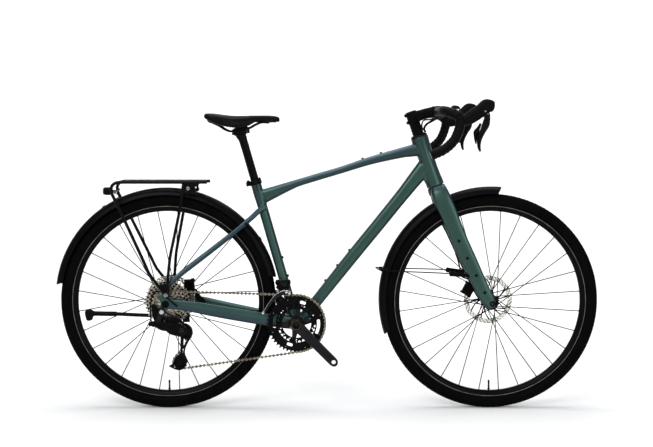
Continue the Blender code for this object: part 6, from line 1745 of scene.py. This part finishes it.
def rack_piece():
    parts = []
    for side in (-1, 1):
        main = [(-385, 50, 743), (-400, 51.4, 743), (-420, 52, 743), (-480, 52.5, 743), (-540, 53, 743), (-610, 53, 743), (-655, 53, 743), (-668, 53, 742.6), (-679, 53.6, 740), (-687.5, 54.4, 733.5), (-691.8, 55, 724), (-691.5, 55.4, 713.5), (-687.6, 56, 701.2),
                (-668, 59.5, 661), (-648.6, 63, 620.9), (-617.6, 70, 554.8), (-586.6, 77, 488.7), (-572, 81, 456.5), (-562, 83.6, 441), (-549, 85.5, 424), (-531, 87, 401), (-522, 87, 388)]
        front = [(-460, 52.6, 742), (-465.8, 55.2, 699), (-472, 58, 655.6), (-486.5, 67, 583.6), (-501, 76, 511.6), (-505.4, 81, 475), (-508.5, 86, 438.6), (-510, 87, 415), (-511.5, 87, 391)]
        parts.append(tube("m", [(x, side * y, z) for x, y, z in main], 5.2, 3, 20))
        parts.append(tube("f", [(x, side * y, z) for x, y, z in front], 5.0, 4, 20))
        foot = [(-527, 381), (-525, 389), (-518, 394), (-510, 395.5), (-505.2, 391), (-505, 381), (-509, 374), (-517, 371.2), (-524.5, 374)]
        parts.append(plate("foot", foot, min(side * 81, side * 86.2), max(side * 81, side * 86.2), [], 0.7))
        hook = [(-678.5, 57.5, 690), (-672, 58.5, 691.5), (-667.5, 59.2, 697), (-669, 59.5, 703.5), (-675, 59.2, 706.5)]
        if side < 0:
            parts.append(tube("hook", [(x, side * y, z) for x, y, z in hook], 2.1, 5, 14))
    for x in (-400.0, -488.0, -565.0, -645.0):
        bar = bmesh.new()
        rod_bm(bar, (x, -52.4, 742.4), (x, 52.4, 742.4), 3.6, sides=24)
        parts.append(make("bar", bar))
    parts.append(tube("low", [(-686, -55.5, 716), (-689, -40, 711.5), (-690, 0, 710.5), (-689, 40, 711.5), (-686, 55.5, 716)], 3.4, 8, 18))
    deck = flat_plate("deck", pill(-655, -394.3, 0, 14), 741.2, 748.4, [pill(-640, -575, 0, 6.5), pill(-556, -497, 0, 6.5), pill(-479, -410, 0, 6.5)], 0.8)
    parts.append(deck)
    # A black plate between the lower ends of the two legs on each side: painted shade over the dropout, not a real part
    # of the rack.
    for side in (-1, 1):
        parts.append(plate("gusset", [(-519, 377), (-527, 386), (-537, 405), (-541, 416), (-505, 421), (-503.5, 396), (-505, 377)], *sorted((side * 82.4, side * 86.6)), [], 0.8))
    whole = merge("rack_tubes", *parts)
    keep(whole, "frame", RACK, ("rear_rack",))
    for side, tag in ((-1, "right"), (1, "left")):
        bolt(f"rack_foot_bolt_{tag}", (-516.5, side * 86.0, 382), (0, side, 0), 5.0, 3.6, "frame", SCREW if side < 0 else BLACK_SCREW, flange=7.2)
        tab = plate(f"rack_side_tab_{tag}", [(-466, 738), (-466, 724), (-460, 716), (-449, 713), (-444, 708), (-424, 709), (-420, 716), (-424, 728), (-417, 738)], *sorted((side * 49.4, side * 52.0)), [circle((-432, 722), 2.4, 20)], 0.4)
        keep(tab, "frame", RACK)
        bolt(f"rack_tab_bolt_{tag}", (-446, side * 52.0, 723.0), (0, side, 0), 4.2, 3.0, "frame", SCREW, flange=5.8)
        for k, x in enumerate((-645.0, -565.0, -488.0)):
            spot = bmesh.new()
            revolve_bm(spot, [(0, -3.4), (4.0, -3.4), (4.4, -2.6), (4.4, 2.6), (4.0, 3.4), (0, 3.4)], (x, side * 46.0, 742.3), (0, 1, 0), 24)
            keep(make(f"rack_weld_{tag}_{k}", spot, 30), "frame", RACK)
    # The slim rod below the right foot, with its rounded end.
    rod = tube("axle_lever", [(-518, -84.5, 380), (-510, -86.6, 372.5), (-498, -87.4, 361.8), (-486, -87.0, 351.2), (-480.5, -86.4, 346.2)], 2.6, 6, 18, radii=lambda f: 1.0 + 0.5 * max(0.0, (f - 0.8) / 0.2))
    keep(rod, "frame", BLACK_SMOOTH)


def light_piece():
    case = revolve("rear_light_case", [(0, 3.4), (11.3, 3.4), (12.0, 4.0), (12.4, 6.0), (12.9, 14), (12.7, 23), (10.8, 27.2), (6.0, 28.4), (0, 28.6)], (-728.5, 0, 712), (1, 0, 0), 56)
    keep(case, "frame", PLASTIC, ("rear_light",))
    lens = revolve("rear_light_lens", [(0, -0.3), (6.0, -0.1), (9.4, 0.6), (10.9, 1.8), (11.3, 3.7), (0, 3.7)], (-728.6, 0, 712), (1, 0, 0), 48)
    keep(lens, "frame", LENS.m)
    arm = fine("rear_light_arm", [loft("a", [((-703, 0, 710), 7, 5.0), ((-697, 0, 710.5), 6.6, 4.4), ((-691, 0, 710.7), 6.4, 5.4), ((-686.5, 0, 710.7), 6.0, 4.6)], 24, 3.2)], 0.9, 2, 0.6)
    keep(arm, "frame", PLASTIC)
    bolt("rear_light_screw", (-690, 0, 705.6), (0, 0, -1), 3.2, 2.2, "frame", BLACK_SCREW)


# ----------------------------------------------------------------- kickstand
def tilted(t, along=0.0, up=0.0):
    lean = math.radians(25)
    return (-470.0 + along, 78.5 + t * math.cos(lean) - up * math.sin(lean), 286.0 + t * math.sin(lean) + up * math.cos(lean))


def kickstand_pieces():
    lean = (( -470.0, 78.5, 286.0), "X", 25.0)
    block = bmesh.new()
    box_bm(block, (-488, 60.5, 304), (-450, 82.5, 325.4))
    cheek = bmesh.new()
    box_bm(cheek, (-482, 64.5, 275), (-458, 69.9, 303), lean)
    box_bm(cheek, (-483, 60, 290), (-457, 65.4, 306))
    pin = bmesh.new()
    rod_bm(pin, tilted(-12.5), tilted(9.3), 5.0, sides=32)
    mount = merge("kickstand_mount_casting", rounded(make("b", block), 2.2), rounded(make("c", cheek), 1.4), rounded(make("p", pin), 0.6))
    cutter = bmesh.new()
    loft_bm(cutter, smooth_stations([((-377.4, 62, 331.3), 6.9, 20.4), ((-409.2, 69.0, 338.5), 5.4, 19.4), ((-440, 74.5, 344), 4.4, 17.9), ((-475, 75.2, 349.5), 4.4, 16.4), ((-518.5, 75.2, 352), 4.4, 15.4)], 3), 24, 2.8)
    cutter = make("cutter", cutter)
    cut = mount.modifiers.new("stay", "BOOLEAN")
    cut.operation, cut.object, cut.solver = "DIFFERENCE", cutter, "EXACT"
    mount = baked(mount)
    bpy.data.objects.remove(cutter, do_unlink=True)
    mount.name = "kickstand_mount_casting"
    mount.data.shade_smooth()
    mount.data.set_sharp_from_angle(angle=math.radians(40))
    keep(mount, "frame", BLACK, ("kickstand_mount",))
    for k, (x, z) in enumerate(((-480, 312), (-458, 312))):
        bolt(f"kickstand_clamp_bolt_{k}", (x, 82.2, z), (0, 1, 0), 3.6, 2.8, "frame", BLACK_SCREW)
    washer = revolve("kickstand_pin_head", [(0, 0), (7.6, 0), (7.6, 1.2), (6.4, 2.2), (3.4, 2.4), (3.0, 1.6), (0, 1.6)], tilted(9.2), tuple(Vector(tilted(1)) - Vector(tilted(0))), 36)
    keep(washer, "frame", SCREW)
    axis = Vector(tilted(1)) - Vector(tilted(0))
    knuckle = revolve("k", [(5.5, -7.8), (10.2, -7.8), (11.0, -7.0), (11.0, 7.0), (10.2, 7.8), (5.5, 7.8)], tilted(0), axis, 48, closed=True)
    upper = loft("u", [((-480.4, 78.6, 286.7), 6.6, 7.2), ((-498, 79.4, 288.0), 6.5, 6.8), ((-520, 80, 289), 6.4, 6.4), ((-580, 81.5, 291.3), 6.3, 6.3), ((-640, 83, 293.5), 6.3, 6.3), ((-706, 85, 296.5), 6.3, 6.3)], 32, 2.0, 3)
    keep(merge("kickstand_upper_leg", knuckle, upper), "kickstand", SLEEVE, ("kickstand_leg",))
    a, b = Vector((-705, 84.9, 296.4)), Vector((-787, 87, 297.5))
    sleeve = revolve("kickstand_lower_leg", [(6.5, 0), (7.8, 0), (8.2, 0.8), (8.2, 4.0), (7.9, 5.0), (8.15, 6.0), ((8.15), 81), (6.5, 81)], tuple(a), tuple(b - a), 40, closed=True)
    keep(sleeve, "kickstand", SLEEVE)
    button = revolve("kickstand_length_button", [(0, 0), (2.6, 0), (2.6, 1.4), (1.8, 2.0), (0, 2.1)], (-722, 93.0, 296.8), (0, 1, 0), 24)
    keep(button, "kickstand", SCREW)
    foot = loft("kickstand_foot_pad", [((-781, 86.8, 297.5), 8.6, 8.6), ((-784.5, 87, 297.3), 9.6, 10.6), ((-790, 87.4, 296.4), 11.8, 15.6), ((-795, 87.7, 294.4), 12.8, 18.4), ((-800, 88, 291.6), 13, 19.4), ((-805, 88.2, 290.0), 11.8, 18.2), ((-808.8, 88.3, 289.2), 8.6, 14.6)], 36, 2.6)
    keep(foot, "kickstand", FOOT)


def axle_pieces():
    rear = revolve("rear_axle_rod", [(0, -79), (5.9, -79), (5.9, 85), (3.6, 85), (3.2, 81), (0, 81)], (REAR_HUB[0], 0, REAR_HUB[1]), (0, 1, 0), 40)
    keep(rear, "frame", BLACK_SMOOTH, ("rear_thru_axle",))
    ring = revolve("rear_axle_ring", [(6.2, -79.2), (12.0, -79.2), (12.0, -80.6), (11.0, -81.6), (8.6, -81.6), (7.4, -80.4), (6.2, -80.2)], (REAR_HUB[0], 0, REAR_HUB[1]), (0, 1, 0), 48, closed=True)
    keep(ring, "frame", BLACK_SMOOTH)
    dish = revolve("rear_axle_dish", [(0, -79.3), (11.6, -79.3), (11.6, -79.9), (8.4, -80.1), (4.2, -79.7), (3.6, -79.6), (0, -79.6)], (REAR_HUB[0], 0, REAR_HUB[1]), (0, 1, 0), 48)
    keep(dish, "frame", BLACK)
    head_ring = revolve("rear_axle_head", [(6.2, 79.2), (11.0, 79.2), (11.4, 80.4), (10.4, 84.2), (6.2, 85.0)], (REAR_HUB[0], 0, REAR_HUB[1]), (0, 1, 0), 48, closed=True)
    keep(head_ring, "frame", BLACK_SMOOTH)
    front = revolve("front_axle_rod", [(0, -70), (3.4, -70), (3.8, -66), (5.9, -66), (5.9, 71), (3.6, 71), (3.2, 67), (0, 67)], (FRONT_HUB[0], 0, FRONT_HUB[1]), (0, 1, 0), 40)
    keep(front, "steering", BLACK_SMOOTH, ("front_thru_axle",))
    for side in (-1, 1):
        ring = revolve(f"front_axle_ring_{'l' if side > 0 else 'r'}", [(0, 69.6), (9.6, 69.6), (9.8, 70.6), (8.6, 71.6), (3.4, 71.6), (3.2, 70.8), (0, 70.8)], (FRONT_HUB[0], 0, FRONT_HUB[1]), (0, side, 0), 44)
        keep(ring, "steering", BLACK_SMOOTH)


# ------------------------------------------- bolts and bosses found on the skins
def skin_tree(name):
    from mathutils.bvhtree import BVHTree
    obj = bpy.data.objects[name]
    return BVHTree.FromPolygons([v.co for v in obj.data.vertices], [tuple(p.vertices) for p in obj.data.polygons])


def sight(px, py):
    """The camera's place, and the direction of a point of the 653 x 447 frame."""
    focal = 64.43 / 36.0 * 653.0
    flat = Vector(((px - 326.5) / focal, -(py - 223.5) / focal, -1.0))
    return Vector((-0.0015, -3.8, 0.8869)), (Matrix.Rotation(math.radians(85.78), 3, "X") @ flat).normalized()


def bosses():
    fork, main = skin_tree("fork_skin"), skin_tree("frame_skin")
    for k, (px, py) in enumerate(((459, 241), (467.5, 258.2), (476.5, 275.5), (484.8, 292.7))):
        hit, normal, _, _ = fork.ray_cast(*sight(px, py))
        if hit is None:
            continue
        for side in (1, -1):
            p, n = Vector((hit.x, side * hit.y, hit.z)) / MM, Vector((normal.x, side * normal.y, normal.z))
            bolt(f"fork_boss_{k}_{'r' if side > 0 else 'l'}", tuple(p), tuple(n), 3.6, 1.6, "steering", BLACK_SCREW, flange=4.9)
    for name, px, py, body, tree in (("stay_boss", 246, 223.9, "frame", main),):
        hit, normal, _, _ = tree.ray_cast(*sight(px, py))
        if hit is not None:
            for side in (1, -1):
                bolt(f"{name}_{'r' if side > 0 else 'l'}", (hit.x / MM, side * hit.y / MM, hit.z / MM), (normal.x, side * normal.y, normal.z), 3.4, 2.2, body, BLACK_SCREW, flange=4.6)
    # Bottle and bag bosses lie on the centre line: the nearest skin to the sight line's middle.
    for k, (px, py) in enumerate(((362.2, 157.5), (380.7, 152.0), (349.2, 250.0), (337.2, 265.2), (325.4, 280.3), (283.1, 257.1), (288.3, 275.4))):
        eye, way = sight(px, py)
        middle = eye + way * (-eye.y / way.y)
        spot, normal, _, _ = main.find_nearest(middle)
        flat = Vector((normal.x, 0, normal.z)).normalized()
        spot, normal, _, _ = main.ray_cast(Vector((spot.x, 0, spot.z)) + flat * 0.05, -flat)
        if spot is not None:
            bolt(f"frame_boss_{k}", (spot.x / MM, 0.0, spot.z / MM), tuple(flat), 3.8, 4.2, "frame", BLACK_SCREW, flange=5.2)


rack_piece()
light_piece()
kickstand_pieces()
axle_pieces()
bosses()
